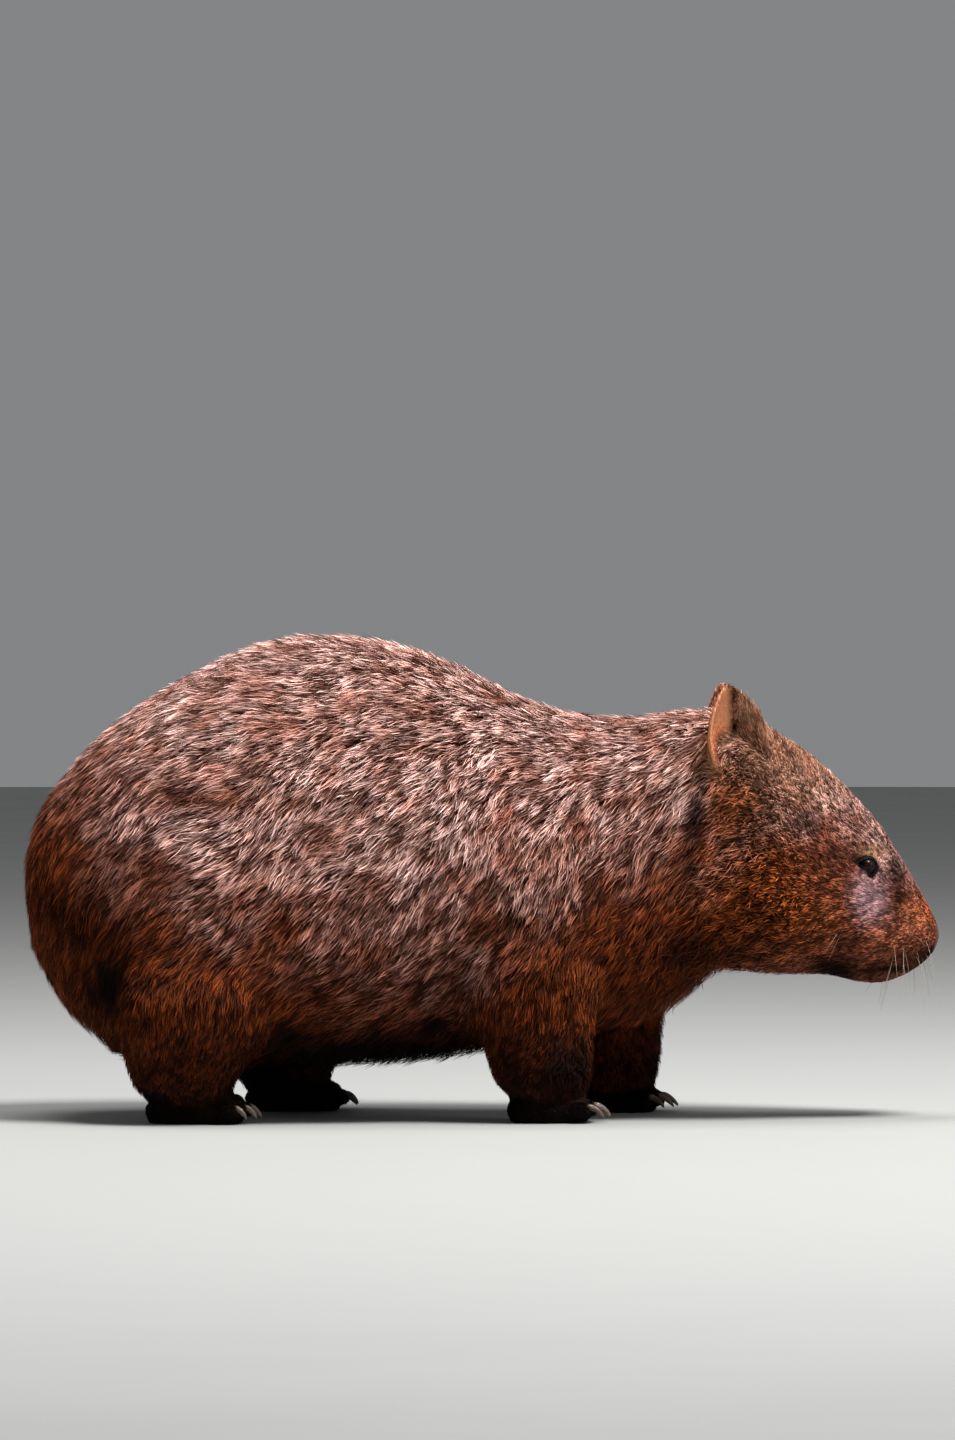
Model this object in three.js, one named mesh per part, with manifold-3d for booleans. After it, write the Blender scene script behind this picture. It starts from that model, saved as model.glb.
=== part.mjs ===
// A common wombat, life size, standing on the ground and looking ahead, as a museum model in solid pieces.
// Millimetres, +Z up, the head towards +X and the animal's right side towards -Y. The origin is on the floor,
// under the middle of the model. Every solid reaches out to the tips of the coat. The soles lie flat at Z = 0.
import * as THREE from "three";
import { mergeVertices } from "three/addons/utils/BufferGeometryUtils.js";
import Module from "manifold-3d";

const wasm = await Module();
wasm.setup();

// Driving sizes
const NOSE_TIP = 413; // half the length over all, ahead of the origin
const RUMP_END = -413;
const GAP = 0.3; // between neighbouring solids
const TRUNK_AROUND = 32; // facets round the body
const LIMB_AROUND = 14;
const LIMB_ROWS = 10;
const RIGHT = -1; // the side of the body, as the sign of Y
const LEFT = 1;

// The outlines of the body without its limbs. Each runs from the rump to the nose tip as points of (X, value).
const BACK_LINE = [
  [RUMP_END, 213], [-404, 266], [-365, 326], [-298, 382], [-208, 428], [-153, 438], [-90, 434], [-28, 415],
  [17, 392], [62, 373], [107, 365], [152, 365], [197, 371], [236, 364], [265, 349], [310, 316], [355, 269],
  [377, 235], [397, 200], [408, 179], [NOSE_TIP, 164],
];
const BELLY_LINE = [
  [RUMP_END, 213], [-410, 180], [-403, 144], [-382, 102], [-352, 71], [-320, 50], [-271, 41], [-208, 41], [-118, 45],
  [-28, 50], [54, 67], [107, 76], [148, 84], [171, 97], [191, 119], [212, 134], [242, 131], [270, 127], [310, 127],
  [332, 122], [360, 120], [382, 128], [397, 138], [408, 150], [NOSE_TIP, 164],
];
const HALF_WIDTHS = [
  [RUMP_END, 0], [-409, 49], [-392, 88], [-352, 123], [-298, 141], [-208, 151], [-118, 150], [-28, 140],
  [62, 124], [125, 108], [179, 100], [224, 98], [261, 94], [292, 86], [324, 73], [351, 59], [378, 48],
  [396, 40], [408, 26], [NOSE_TIP, 0],
];
// How far up the section its widest level lies, and how full its upper and lower halves are.
const WIDEST_LEVEL = [[RUMP_END, 0.5], [-208, 0.42], [62, 0.42], [179, 0.46], [261, 0.38], [342, 0.4], [NOSE_TIP, 0.5]];
const UPPER_FULLNESS = [[RUMP_END, 2], [-118, 2.05], [107, 2.2], [206, 2.8], [288, 2.6], [360, 2.4], [NOSE_TIP, 2.2]];
const LOWER_FULLNESS = [[RUMP_END, 2], [-208, 2.5], [62, 2.4], [206, 2.2], [288, 2.3], [NOSE_TIP, 2.4]];

// Rounded masses that swell the body, or hollow it where the push points inwards. A paired one is on both sides.
const MASSES = [
  { name: "right thigh", at: [-241, -148, 108], size: [86, 63, 86], push: [0, -16.2, 0] },
  { name: "left thigh", at: [-180, 148, 117], size: [86, 63, 86], push: [0, 16.2, 0] },
  { name: "right hollow behind the thigh", at: [-335, -117, 112], size: [34, 54, 56], push: [7.2, 19.8, 0] },
  { name: "left hollow behind the thigh", at: [-297, 117, 112], size: [34, 54, 56], push: [7.2, -19.8, 0] },
  { name: "right shoulder", at: [63, -112, 194], size: [72, 54, 104], push: [0, -12.6, 0] },
  { name: "left shoulder", at: [94, 112, 194], size: [72, 54, 104], push: [0, 12.6, 0] },
  { name: "armpit", at: [-25, 135, 94], size: [31, 54, 54], push: [0, -11.7, 5.4], paired: true },
  { name: "nape crease", at: [184, 101, 234], size: [18, 50, 76], push: [0, -6.3, 0], paired: true },
  { name: "cheek", at: [241, 98, 194], size: [43, 45, 52], push: [0, 4.5, 0], paired: true },
  { name: "brow", at: [335, 58, 248], size: [27, 23, 13.5], push: [0, 3.6, 1.8], paired: true },
  { name: "eye hollow", at: [347, 62, 226], size: [15.3, 19.8, 12.6], push: [0, -4.5, 0], paired: true },
  { name: "under the eye", at: [358, 57, 196], size: [23, 18, 16.2], push: [0, -3.6, 0], paired: true },
  { name: "whisker pad", at: [376, 45, 158], size: [23, 19.8, 19.8], push: [0, 5.4, 0], paired: true },
  { name: "nostril", at: [402, 19.8, 155], size: [8.1, 8.1, 6.3], push: [-1.8, -3.6, 0], paired: true },
  { name: "temple", at: [274, 78, 297], size: [36, 31, 27], push: [0, -5.4, -1.8], paired: true },
];

const EYE = { x: 345, y: 51.5, z: 227, radius: 7.7 };
// An ear's thickness falls from thick to thin towards the tip, and its edges curl forward by curl degrees.
const EAR = { base: [231, 70, 308], tip: [219, 84, 390], opening: [0.42, 0.9, 0.1], thick: 8.8, thin: 4.3, curl: 78 };
// Half the width of an ear, seen from its opening, at levels from its root to its tip.
const EAR_OUTLINE = [[0, 0], [3, 16], [14, 26], [34, 30], [54, 25], [69, 15], [80, 6], [83, 0]];
// The bare nose lies inside an egg round the nose tip, and the lower jaw below a line through the mouth, as (X, Z).
const NOSE = { middle: [418, 0, 171], size: [18, 22, 24] };
const JAW = [[367, 90], [367, 121], [358, 134], [343, 140], [328, 138], [312, 126], [312, 90]];
const JAW_MIDDLE = 343;
// Where the body is parted, by the X of a slanted cut at the height REACH and at the floor.
const REACH = 540;
const CUTS = { withers: { top: 72, floor: 181 }, nape: { top: 186, floor: 206 } };
const TAIL = { root: [-368, 178], tip: [-407, 150], radius: 13.5 };

// Where each limb stands, by the middle of its foot. A foot turns its toes out by toeOut degrees.
const LIMBS = [
  { end: "fore", side: RIGHT, x: 59, y: 79, toeOut: -7 },
  { end: "fore", side: LEFT, x: 123, y: 77, toeOut: -7 },
  { end: "hind", side: RIGHT, x: -250, y: 94, toeOut: 6 },
  { end: "hind", side: LEFT, x: -167, y: 94, toeOut: 6 },
];
// Rows down a leg: its level, how far its middle lies ahead of the foot's and out from it, and its half sizes.
const LEG_ROWS = {
  fore: [
    [221, -5, 4, 0, 0], [214, -7, 5, 31, 22], [191, -11, 12, 54, 36], [153, -13, 18, 65, 43],
    [113, -13, 14, 62, 43], [76, -9, 7, 53, 40], [43, -5, 3, 45, 37], [27, -2, 0, 39, 34], [16, 0, 0, 0, 0],
  ],
  hind: [
    [193, 5, 13, 0, 0], [184, 5, 16, 36, 22], [162, 4, 23, 63, 36], [126, 2, 25, 77, 45],
    [88, -4, 18, 74, 47], [59, -10, 8, 59, 43], [38, -14, 3, 47, 38], [25, -15, 0, 40, 33], [14, -15, 0, 0, 0],
  ],
};
const FEET = {
  fore: { heel: -36, front: 38, halfWidth: 32, height: 34, toes: 5, clawed: [0, 1, 2, 3, 4], toeWidth: 7.7, claw: 22 },
  hind: { heel: -49, front: 41, halfWidth: 30, height: 32, toes: 5, clawed: [1, 2, 3, 4], toeWidth: 7.2, claw: 17 },
};
const TOE_LENGTH = 21;
const SOLE_MIDDLE = 12; // how high the widest level of a foot lies

const MATERIALS = {
  coat: new THREE.MeshStandardMaterial({ color: 0x6b4436, roughness: 0.9, metalness: 0 }),
  ear: new THREE.MeshStandardMaterial({ color: 0xa9673f, roughness: 0.85, metalness: 0 }),
  nose: new THREE.MeshStandardMaterial({ color: 0x4a2a24, roughness: 0.5, metalness: 0 }),
  eye: new THREE.MeshStandardMaterial({ color: 0x120c0a, roughness: 0.08, metalness: 0 }),
  claw: new THREE.MeshStandardMaterial({ color: 0x4d4038, roughness: 0.45, metalness: 0 }),
};

// Shapes
const vector = (x, y, z) => new THREE.Vector3(x, y, z);
const curve = (points) => new THREE.SplineCurve(points.map(([x, value]) => new THREE.Vector2(x, value)));

// The value of an outline at any X, on a smooth curve through its points.
function outline(points) {
  const fine = curve(points).getPoints(600);
  return (x) => {
    const after = fine.findIndex((p) => p.x >= x);
    if (after < 0) return fine.at(-1).y;
    const [a, b] = [fine[Math.max(after - 1, 0)], fine[after]];
    return b.x > a.x ? THREE.MathUtils.mapLinear(x, a.x, b.x, a.y, b.y) : b.y;
  };
}

// A sphere's points moved to place(share of the way, across, upward), where the way, across and upward are
// right-handed and the last two run round a circle. Both ends close to a point.
function sweep(around, along, place) {
  const form = new THREE.SphereGeometry(1, around, along);
  const points = form.getAttribute("position");
  for (let row = 0; row <= along; row++) {
    for (let column = 0; column <= around; column++) {
      const angle = (2 * Math.PI * (column % around)) / around;
      const size = row === 0 || row === along ? 0 : 1;
      const spot = place(row / along, -Math.cos(angle) * size, Math.sin(angle) * size);
      points.setXYZ(row * (around + 1) + column, spot.x, spot.y, spot.z);
    }
  }
  return form;
}

// Everything paired is shaped on the left and turned over for the right.
function onSide(form, side) {
  if (side === LEFT) return form;
  const order = form.index.array;
  for (let i = 0; i < order.length; i += 3) [order[i + 1], order[i + 2]] = [order[i + 2], order[i + 1]];
  return form.scale(1, -1, 1);
}

function solidOf(form) {
  const bare = form.clone();
  bare.deleteAttribute("normal");
  bare.deleteAttribute("uv");
  const merged = mergeVertices(bare, 1e-4);
  const vertProperties = new Float32Array(merged.getAttribute("position").array);
  const triVerts = new Uint32Array(merged.index.array);
  return new wasm.Manifold(new wasm.Mesh({ numProp: 3, vertProperties, triVerts }));
}

const root = new THREE.Group();

// Adds the largest piece of a solid as a named mesh, which leaves out the crumbs of a cut.
function addNode(name, solid, material) {
  const piece = solid.decompose().reduce((best, next) => (next.volume() > best.volume() ? next : best));
  const { vertProperties, triVerts } = piece.getMesh();
  const form = new THREE.BufferGeometry();
  form.setAttribute("position", new THREE.BufferAttribute(vertProperties, 3));
  form.setIndex(new THREE.BufferAttribute(triVerts, 1));
  form.computeVertexNormals();
  const mesh = new THREE.Mesh(form, material);
  mesh.name = name;
  root.add(mesh);
}

// The body from rump to nose, in one piece
const back = outline(BACK_LINE);
const belly = outline(BELLY_LINE);
const halfWidth = outline(HALF_WIDTHS);
const widest = outline(WIDEST_LEVEL);
const upper = outline(UPPER_FULLNESS);
const lower = outline(LOWER_FULLNESS);

// Rows stand close together round the rump, on the face and round the nose.
const RUMP = { rows: 7, ends: -300 };
const TRUNK = { rows: 15, ends: 216 };
const HEAD = { rows: 17 };
const ROWS = RUMP.rows + TRUNK.rows + HEAD.rows;
function rowPosition(row) {
  const { lerp } = THREE.MathUtils;
  const onTrunk = row - RUMP.rows;
  const onHead = onTrunk - TRUNK.rows;
  if (onTrunk <= 0) return lerp(RUMP_END, RUMP.ends, 1 - Math.cos((Math.PI / 2) * (row / RUMP.rows)));
  if (onHead <= 0) return lerp(RUMP.ends, TRUNK.ends, onTrunk / TRUNK.rows);
  return lerp(TRUNK.ends, NOSE_TIP, Math.sin((Math.PI / 2) * (onHead / HEAD.rows)));
}

function withMasses(spot) {
  const moved = spot.clone();
  for (const { at, size, push, paired } of MASSES) {
    for (const mirror of paired ? [1, -1] : [1]) {
      const [x, y, z] = [spot.x - at[0], spot.y - at[1] * mirror, spot.z - at[2]];
      const share = Math.exp(-((x / size[0]) ** 2) - (y / size[1]) ** 2 - (z / size[2]) ** 2);
      moved.add(vector(push[0], push[1] * mirror, push[2]).multiplyScalar(share));
    }
  }
  return moved;
}

const rounded = (value, fullness) => Math.sign(value) * Math.abs(value) ** (2 / fullness);

function bodySolid(swell = 0) {
  return solidOf(sweep(TRUNK_AROUND, ROWS, (share, across, upward) => {
    const x = rowPosition(Math.round(share * ROWS));
    const middle = THREE.MathUtils.lerp(belly(x), back(x), widest(x));
    const fullness = upward > 0 ? upper(x) : lower(x);
    const reach = upward > 0 ? back(x) - middle : middle - belly(x);
    const half = halfWidth(x) + swell;
    return withMasses(vector(x, rounded(across, fullness) * half, middle + rounded(upward, fullness) * (reach + swell)));
  }));
}

// Limbs
function legSolid(limb, swell = 0) {
  const rows = LEG_ROWS[limb.end];
  const [ahead, out, long, wide] = [1, 2, 3, 4].map((k) => curve(rows.map((row) => [row[0], row[k]])));
  return solidOf(onSide(sweep(LIMB_AROUND, LIMB_ROWS, (share, across, down) => {
    const grow = (half) => Math.max(half, 0) + swell;
    const x = limb.x + ahead.getPoint(share).y + across * grow(long.getPoint(share).y);
    const y = limb.y + out.getPoint(share).y - down * grow(wide.getPoint(share).y);
    return vector(x, y, ahead.getPoint(share).x + (share < 0.5 ? swell : -swell));
  }), limb.side));
}

// A foot's own frame, with X ahead and Y out, set where the foot stands.
const placeFoot = (form, limb) => onSide(
  form.rotateZ(THREE.MathUtils.degToRad(limb.toeOut)).translate(limb.x, limb.y, 0), limb.side);

// Where a toe grows from and which way it points. Toe 0 is the innermost.
function toeLine(foot, toe) {
  const fan = (2 * toe) / (foot.toes - 1) - 1;
  const start = vector(foot.front - 14 - 9 * fan * fan, fan * (foot.halfWidth - foot.toeWidth - 1), SOLE_MIDDLE);
  return { start, way: vector(1, 0.22 * fan, 0).normalize() };
}

const ground = solidOf(new THREE.BoxGeometry(2000, 2000, 200).translate(0, 0, -100));

function padForm(foot, swell) {
  return sweep(14, 6, (share, across, upward) => {
    const roundness = Math.sin(Math.PI * share) ** 0.55;
    const x = THREE.MathUtils.lerp(foot.heel - swell, foot.front + swell, (1 - Math.cos(Math.PI * share)) / 2);
    const half = THREE.MathUtils.lerp(0.84, 1, share) * foot.halfWidth + swell;
    const reach = upward > 0 ? foot.height - SOLE_MIDDLE + swell : 22 + swell;
    return vector(x, across * roundness * half, SOLE_MIDDLE + upward * roundness * reach);
  });
}

function toeForm(foot, toe, swell) {
  const { start, way } = toeLine(foot, toe);
  const out = vector(-way.y, way.x, 0);
  return sweep(6, 4, (share, across, upward) => {
    const radius = (foot.toeWidth + 3 - 2.5 * share + swell) * Math.sin(Math.PI * share) ** 0.6;
    return start.clone().addScaledVector(way, (TOE_LENGTH / 2) * (1 - Math.cos(Math.PI * share)))
      .addScaledVector(out, across * radius).add(vector(0, 0, upward * radius));
  });
}

function footSolid(limb, swell = 0) {
  const foot = FEET[limb.end];
  let solid = solidOf(placeFoot(padForm(foot, swell), limb));
  for (let toe = 0; toe < foot.toes; toe++) solid = solid.add(solidOf(placeFoot(toeForm(foot, toe, swell), limb)));
  return solid.subtract(ground);
}

// A claw grows out of its toe and curves down towards the ground.
function clawSolid(limb, toe, swell = 0) {
  const foot = FEET[limb.end];
  const { start, way } = toeLine(foot, toe);
  const spot = (ahead, level) => start.clone().addScaledVector(way, ahead).setZ(level);
  const first = TOE_LENGTH - 8;
  const line = new THREE.QuadraticBezierCurve3(
    spot(first, 15), spot(first + 0.6 * foot.claw, 17), spot(first + foot.claw, 2.5));
  const out = vector(-way.y, way.x, 0);
  return solidOf(placeFoot(sweep(6, 4, (share, across, upward) => {
    const up = line.getTangent(share).cross(out);
    const thick = 3.6 * (1 - share) ** 0.55 + 0.5 + swell;
    return line.getPoint(share).addScaledVector(out, across * thick * 0.8).addScaledVector(up, upward * thick);
  }), limb));
}

// Ears, eyes, nose, jaw and tail
// An ear is a bent leaf, hollow towards the side and front, with its root inside the head.
function earSolid(side) {
  const [base, tip] = [EAR.base, EAR.tip].map((spot) => vector(...spot));
  const up = tip.clone().sub(base).normalize();
  const open = vector(...EAR.opening);
  open.addScaledVector(up, -open.dot(up)).normalize();
  const front = open.clone().cross(up);
  const shape = curve(EAR_OUTLINE);
  const tall = EAR_OUTLINE.at(-1)[0];
  const curl = THREE.MathUtils.degToRad(EAR.curl);
  return solidOf(onSide(sweep(16, 9, (share, across, facing) => {
    const { x: level, y: half } = shape.getPoint(share);
    const radius = Math.max(half, 1) / Math.sin(curl);
    const bend = across * curl;
    const thick = THREE.MathUtils.lerp(EAR.thick, EAR.thin, level / tall) / 2;
    const lateral = (radius - facing * thick) * Math.sin(bend);
    const deep = radius * (1 - Math.cos(bend)) + facing * thick * Math.cos(bend) - 0.45 * half;
    return base.clone().addScaledVector(up, level).addScaledVector(front, lateral).addScaledVector(open, deep);
  }), side));
}

const eyeSolid = (side, swell = 0) => solidOf(
  new THREE.SphereGeometry(EYE.radius + swell, 12, 8).translate(EYE.x, side * EYE.y, EYE.z));

function tailSolid(swell = 0) {
  const [root, tip] = [TAIL.root, TAIL.tip].map(([x, z]) => vector(x, 0, z));
  const way = tip.clone().sub(root);
  const across = vector(0, 1, 0);
  const up = way.clone().normalize().cross(across);
  return solidOf(sweep(8, 6, (share, out, upward) => {
    const radius = (TAIL.radius + swell) * Math.sin(Math.PI * share) ** 0.6;
    return root.clone().addScaledVector(way, (1 - Math.cos(Math.PI * share)) / 2)
      .addScaledVector(across, out * radius).addScaledVector(up, upward * radius);
  }));
}

// A block right through the body, from its outline in side view.
function sideBlock(points) {
  const shape = new THREE.Shape(points.map(([x, z]) => new THREE.Vector2(x, z)));
  const block = new THREE.ExtrudeGeometry(shape, { depth: 2 * REACH, bevelEnabled: false });
  return solidOf(block.translate(0, 0, -REACH).rotateX(Math.PI / 2));
}

// All that lies ahead of a slanted cut, which is given by its X at the height REACH and at the floor.
const aheadOf = ({ top, floor }, gap) => sideBlock([[top + gap, REACH], [floor + gap, 0], [REACH, 0], [REACH, REACH]]);

const noseRegion = (swell) => solidOf(new THREE.SphereGeometry(1, 16, 10)
  .scale(...NOSE.size.map((half) => half + swell)).translate(...NOSE.middle));

const jawRegion = (gap) => sideBlock(JAW.map(([x, z]) => [x + (x < JAW_MIDDLE ? -gap : gap), z + gap]));

// The model
const body = bodySolid();
const sideName = (side) => (side === RIGHT ? "right" : "left");
const bothSides = [RIGHT, LEFT];
const legName = ({ end, side }, piece) => `${end}_${piece}_${sideName(side)}`;

let flesh = body.subtract(tailSolid(GAP));
for (const limb of LIMBS) flesh = flesh.subtract(legSolid(limb, GAP)).subtract(footSolid(limb, GAP));
for (const side of bothSides) flesh = flesh.subtract(eyeSolid(side, GAP));

const ahead = flesh.intersect(aheadOf(CUTS.withers, GAP));
addNode("trunk", flesh.subtract(aheadOf(CUTS.withers, 0)), MATERIALS.coat);
addNode("neck", ahead.subtract(aheadOf(CUTS.nape, 0)), MATERIALS.coat);
addNode("head", ahead.intersect(aheadOf(CUTS.nape, GAP)).subtract(noseRegion(GAP)).subtract(jawRegion(GAP)), MATERIALS.coat);
addNode("lower_jaw", flesh.intersect(jawRegion(0)), MATERIALS.coat);
addNode("nose_pad", flesh.intersect(noseRegion(0)), MATERIALS.nose);
addNode("tail", tailSolid(), MATERIALS.coat);
for (const side of bothSides) {
  addNode(`ear_${sideName(side)}`, earSolid(side).subtract(bodySolid(GAP)), MATERIALS.ear);
  addNode(`eye_${sideName(side)}`, eyeSolid(side), MATERIALS.eye);
}
for (const limb of LIMBS) {
  const { clawed } = FEET[limb.end];
  let foot = footSolid(limb);
  for (const toe of clawed) foot = foot.subtract(clawSolid(limb, toe, GAP));
  addNode(legName(limb, "leg"), legSolid(limb).subtract(footSolid(limb, GAP)), MATERIALS.coat);
  addNode(legName(limb, "foot"), foot, MATERIALS.coat);
  for (const toe of clawed) {
    addNode(`${legName(limb, "claw")}_${toe + 1}`, clawSolid(limb, toe).subtract(ground), MATERIALS.claw);
  }
}

export default root;
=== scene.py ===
import math
from collections import namedtuple

import bmesh
import bpy
import numpy as np
from bpy.props import FloatProperty, FloatVectorProperty, IntProperty, PointerProperty
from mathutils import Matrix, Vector
from mathutils.bvhtree import BVHTree
from mathutils.kdtree import KDTree


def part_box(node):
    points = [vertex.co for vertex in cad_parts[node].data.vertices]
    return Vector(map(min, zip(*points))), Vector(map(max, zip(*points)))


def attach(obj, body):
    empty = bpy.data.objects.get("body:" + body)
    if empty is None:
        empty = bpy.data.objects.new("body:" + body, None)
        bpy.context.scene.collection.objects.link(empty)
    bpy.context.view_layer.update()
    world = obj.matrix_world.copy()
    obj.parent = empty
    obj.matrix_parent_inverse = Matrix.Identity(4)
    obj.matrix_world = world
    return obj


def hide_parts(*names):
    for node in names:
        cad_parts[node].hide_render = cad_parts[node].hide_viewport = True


bl_info = {
    "name": "Wombat",
    "version": (1, 0, 0),
    "blender": (4, 5, 0),
    "location": "View3D > Sidebar > Wombat",
    "description": "Makes the skin, eyes, claws, whiskers and coat of a life-size wombat round its frame",
    "category": "Object",
}

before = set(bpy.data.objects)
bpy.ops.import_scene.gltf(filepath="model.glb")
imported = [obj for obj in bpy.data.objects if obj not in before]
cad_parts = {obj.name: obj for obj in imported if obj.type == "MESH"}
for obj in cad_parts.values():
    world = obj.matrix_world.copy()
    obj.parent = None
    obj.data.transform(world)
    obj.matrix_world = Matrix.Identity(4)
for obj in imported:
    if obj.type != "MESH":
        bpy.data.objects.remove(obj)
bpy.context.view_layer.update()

MM = 0.001
SIDES = {"right": -1, "left": 1}
FEET = ("fore_foot_right", "fore_foot_left", "hind_foot_right", "hind_foot_left")
LEGS = ("fore_leg_right", "fore_leg_left", "hind_leg_right", "hind_leg_left")
EARS = ("ear_right", "ear_left")
FLESH = ("trunk", "neck", "head", "lower_jaw", "nose_pad", "tail", *EARS, *LEGS, *FEET)
nose_low, nose_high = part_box("nose_pad")
NOSE_TIP = Vector((nose_high.x, 0, (nose_low.z + nose_high.z) / 2))
# The head takes over from the body between these two places ahead, in metres.
HEAD_RANGE = (0.20, 0.27)


# Settings
class WombatSizes(bpy.types.PropertyGroup):
    voxel: FloatProperty(
        name="Skin detail", description="How far apart the skin's points are on the head", default=2.0 * MM,
        min=1.0 * MM, unit="LENGTH")
    skin_share: FloatProperty(
        name="Skin share", description="The share of the skin's faces that is kept, most of them on the head",
        default=0.27, subtype="FACTOR", min=0.05, max=1.0)
    coat_depth: FloatProperty(
        name="Coat depth", description="How deep the coat is on the trunk", default=15 * MM, unit="LENGTH")
    body_tufts: IntProperty(
        name="Body tufts", description="How many tufts the trunk, neck and legs carry", default=360000,
        min=1000)
    face_tufts: IntProperty(
        name="Face tufts", description="How many tufts the cheeks, face and ears carry", default=130000,
        min=1000)
    eye_radius: FloatProperty(
        name="Eye radius", description="Half the width of the eyeball", default=7.7 * MM, unit="LENGTH")


class WombatColours(bpy.types.PropertyGroup):
    """One colour for each entry of COLOURS, which fills it in below"""


def colour(name, description, value):
    return FloatVectorProperty(name=name, description=description, default=value, subtype="COLOR", size=3,
                               min=0.0, max=1.0)


COLOURS = {
    "base": ("Base", "Hair near the skin over most of the body", (0.016, 0.0045, 0.0020)),
    "brown": ("Brown", "The body of the hair over most of the coat", (0.190, 0.060, 0.032)),
    # Pale tips: the coat's own grizzled tips, brightened as painted light on the top of the back.
    "pale": ("Pale tips", "The grizzled tips along the back and shoulders", (0.92, 0.62, 0.56)),
    # Rust: the coat's own warm brown, kept dark as painted shade low on the body.
    "rust": ("Rust", "The warm brown of the rump and lower flank", (0.088, 0.0185, 0.0040)),
    "orange": ("Orange", "The cheeks and the fur under the ears", (0.185, 0.044, 0.0085)),
    # Dark: painted shade under the belly, inside the legs and in the coat's creases, and the darker feet.
    "dark": ("Dark", "The belly, the inside of the legs and the feet", (0.0050, 0.0018, 0.0010)),
    "mauve": ("Mauve", "The pale patch under the eye", (0.62, 0.36, 0.38)),
    "tan": ("Tan", "The brow, the crown and the front of the ears", (0.66, 0.36, 0.22)),
    "muzzle": ("Muzzle", "The top and the sides of the muzzle", (0.42, 0.135, 0.055)),
    "bare": ("Bare skin", "The pad of the nose", (0.125, 0.050, 0.037)),
    # Black: the rims of the eyes, and painted shade in the nostrils and along the mouth's line.
    "black": ("Black", "The rims of the eyes, the nostrils and the mouth", (0.0045, 0.0022, 0.0018)),
    "ear": ("Ear", "The back wall inside the ears", (0.95, 0.47, 0.24)),
    "lip": ("Lip", "The dark hair of the upper lip", (0.045, 0.012, 0.006)),
    "pupil": ("Pupil", "The eyeball outside the iris", (0.0022, 0.002, 0.002)),
    "iris_dark": ("Dark iris", "The depth of the iris", (0.004, 0.0025, 0.002)),
    "iris": ("Iris", "The streaks of the iris", (0.020, 0.009, 0.005)),
    "horn": ("Horn", "The claws", (0.075, 0.05, 0.038)),
    "horn_pale": ("Pale horn", "The streaks along the claws", (0.16, 0.115, 0.085)),
    "soil": ("Soil", "The dirt on the claws", (0.05, 0.025, 0.014)),
    "whisker_root": ("Whisker root", "The whiskers where they leave the skin", (0.07, 0.035, 0.022)),
    "whisker": ("Whisker", "The outer half of the whiskers", (0.30, 0.22, 0.16)),
    "floor": ("Floor", "The studio floor", (0.31, 0.31, 0.30)),
}
for key, facts in COLOURS.items():
    WombatColours.__annotations__[key] = colour(*facts)


# Numbers on points
def smooth_step(low, high, value):
    share = np.clip((value - low) / (high - low), 0, 1)
    return share * share * (3 - 2 * share)


def unit(vectors):
    return vectors / np.maximum(np.linalg.norm(vectors, axis=-1, keepdims=True), 1e-12)


# Odd numbers that scramble a cell's place, and then the result, so that neighbours get unlike values.
CELL_FACTORS = (73856093, 19349663, 83492791)
SEED_FACTOR = 2654435761
SCRAMBLES = ((13, 1274126177), (15, 668265263))
TOP = 0x7FFFFFFF


def noise(places, size, seed):
    """Smooth noise from 0 to 1 at each place, with features about size across."""
    scaled = places / size
    cell = np.floor(scaled).astype(np.int64)
    share = scaled - cell
    share = share * share * (3 - 2 * share)
    total = np.zeros(len(places))
    for corner in np.ndindex(2, 2, 2):
        x, y, z = ((cell + corner) * CELL_FACTORS).T
        mixed = x ^ y ^ z ^ (seed * SEED_FACTOR)
        for shift, factor in SCRAMBLES:
            mixed = ((mixed ^ (mixed >> shift)) * factor) & TOP
        weight = np.prod(np.where(corner, share, 1 - share), axis=1)
        total += weight * mixed / TOP
    return total


def along_tangent(vectors, normals):
    return unit(vectors - normals * np.sum(vectors * normals, axis=1, keepdims=True))


def turned(vectors, normals, angles):
    """Tangent vectors turned about their normals by angles in radians."""
    angles = angles[:, None]
    return vectors * np.cos(angles) + np.cross(normals, vectors) * np.sin(angles)


# Meshes
def points_of(mesh):
    places = np.empty(len(mesh.vertices) * 3)
    mesh.vertices.foreach_get("co", places)
    return places.reshape(-1, 3)


def normals_of(mesh):
    normals = np.empty(len(mesh.vertices) * 3)
    mesh.vertices.foreach_get("normal", normals)
    return normals.reshape(-1, 3)


def set_points(mesh, places):
    mesh.vertices.foreach_set("co", np.ascontiguousarray(places, dtype=np.float32).ravel())
    mesh.update()


def edges_of(mesh):
    edges = np.empty(len(mesh.edges) * 2, np.int32)
    mesh.edges.foreach_get("vertices", edges)
    return edges.reshape(-1, 2)


def eased(values, edges, rounds, share=1.0):
    """Values at points, evened out along the edges of their mesh. share says how far each point gives way."""
    values = values.copy()
    flat = values.ndim == 1
    columns = values[:, None] if flat else values
    share = np.broadcast_to(share, len(values))[:, None]
    count = np.maximum(np.bincount(edges.ravel(), minlength=len(values)), 1)[:, None]
    for _ in range(rounds):
        mean = np.stack([
            np.bincount(edges[:, 0], column[edges[:, 1]], len(values))
            + np.bincount(edges[:, 1], column[edges[:, 0]], len(values))
            for column in columns.T
        ], axis=1) / count
        columns = columns + share * (mean - columns)
    return columns[:, 0] if flat else columns


def store(mesh, name, values):
    """Keeps one number for each point of a mesh."""
    made = mesh.attributes.new(name, "FLOAT", "POINT")
    made.data.foreach_set("value", np.asarray(values, np.float32))


def stored_on(mesh, name):
    values = np.empty(len(mesh.vertices), np.float32)
    mesh.attributes[name].data.foreach_get("value", values)
    return values.astype(float)


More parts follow.
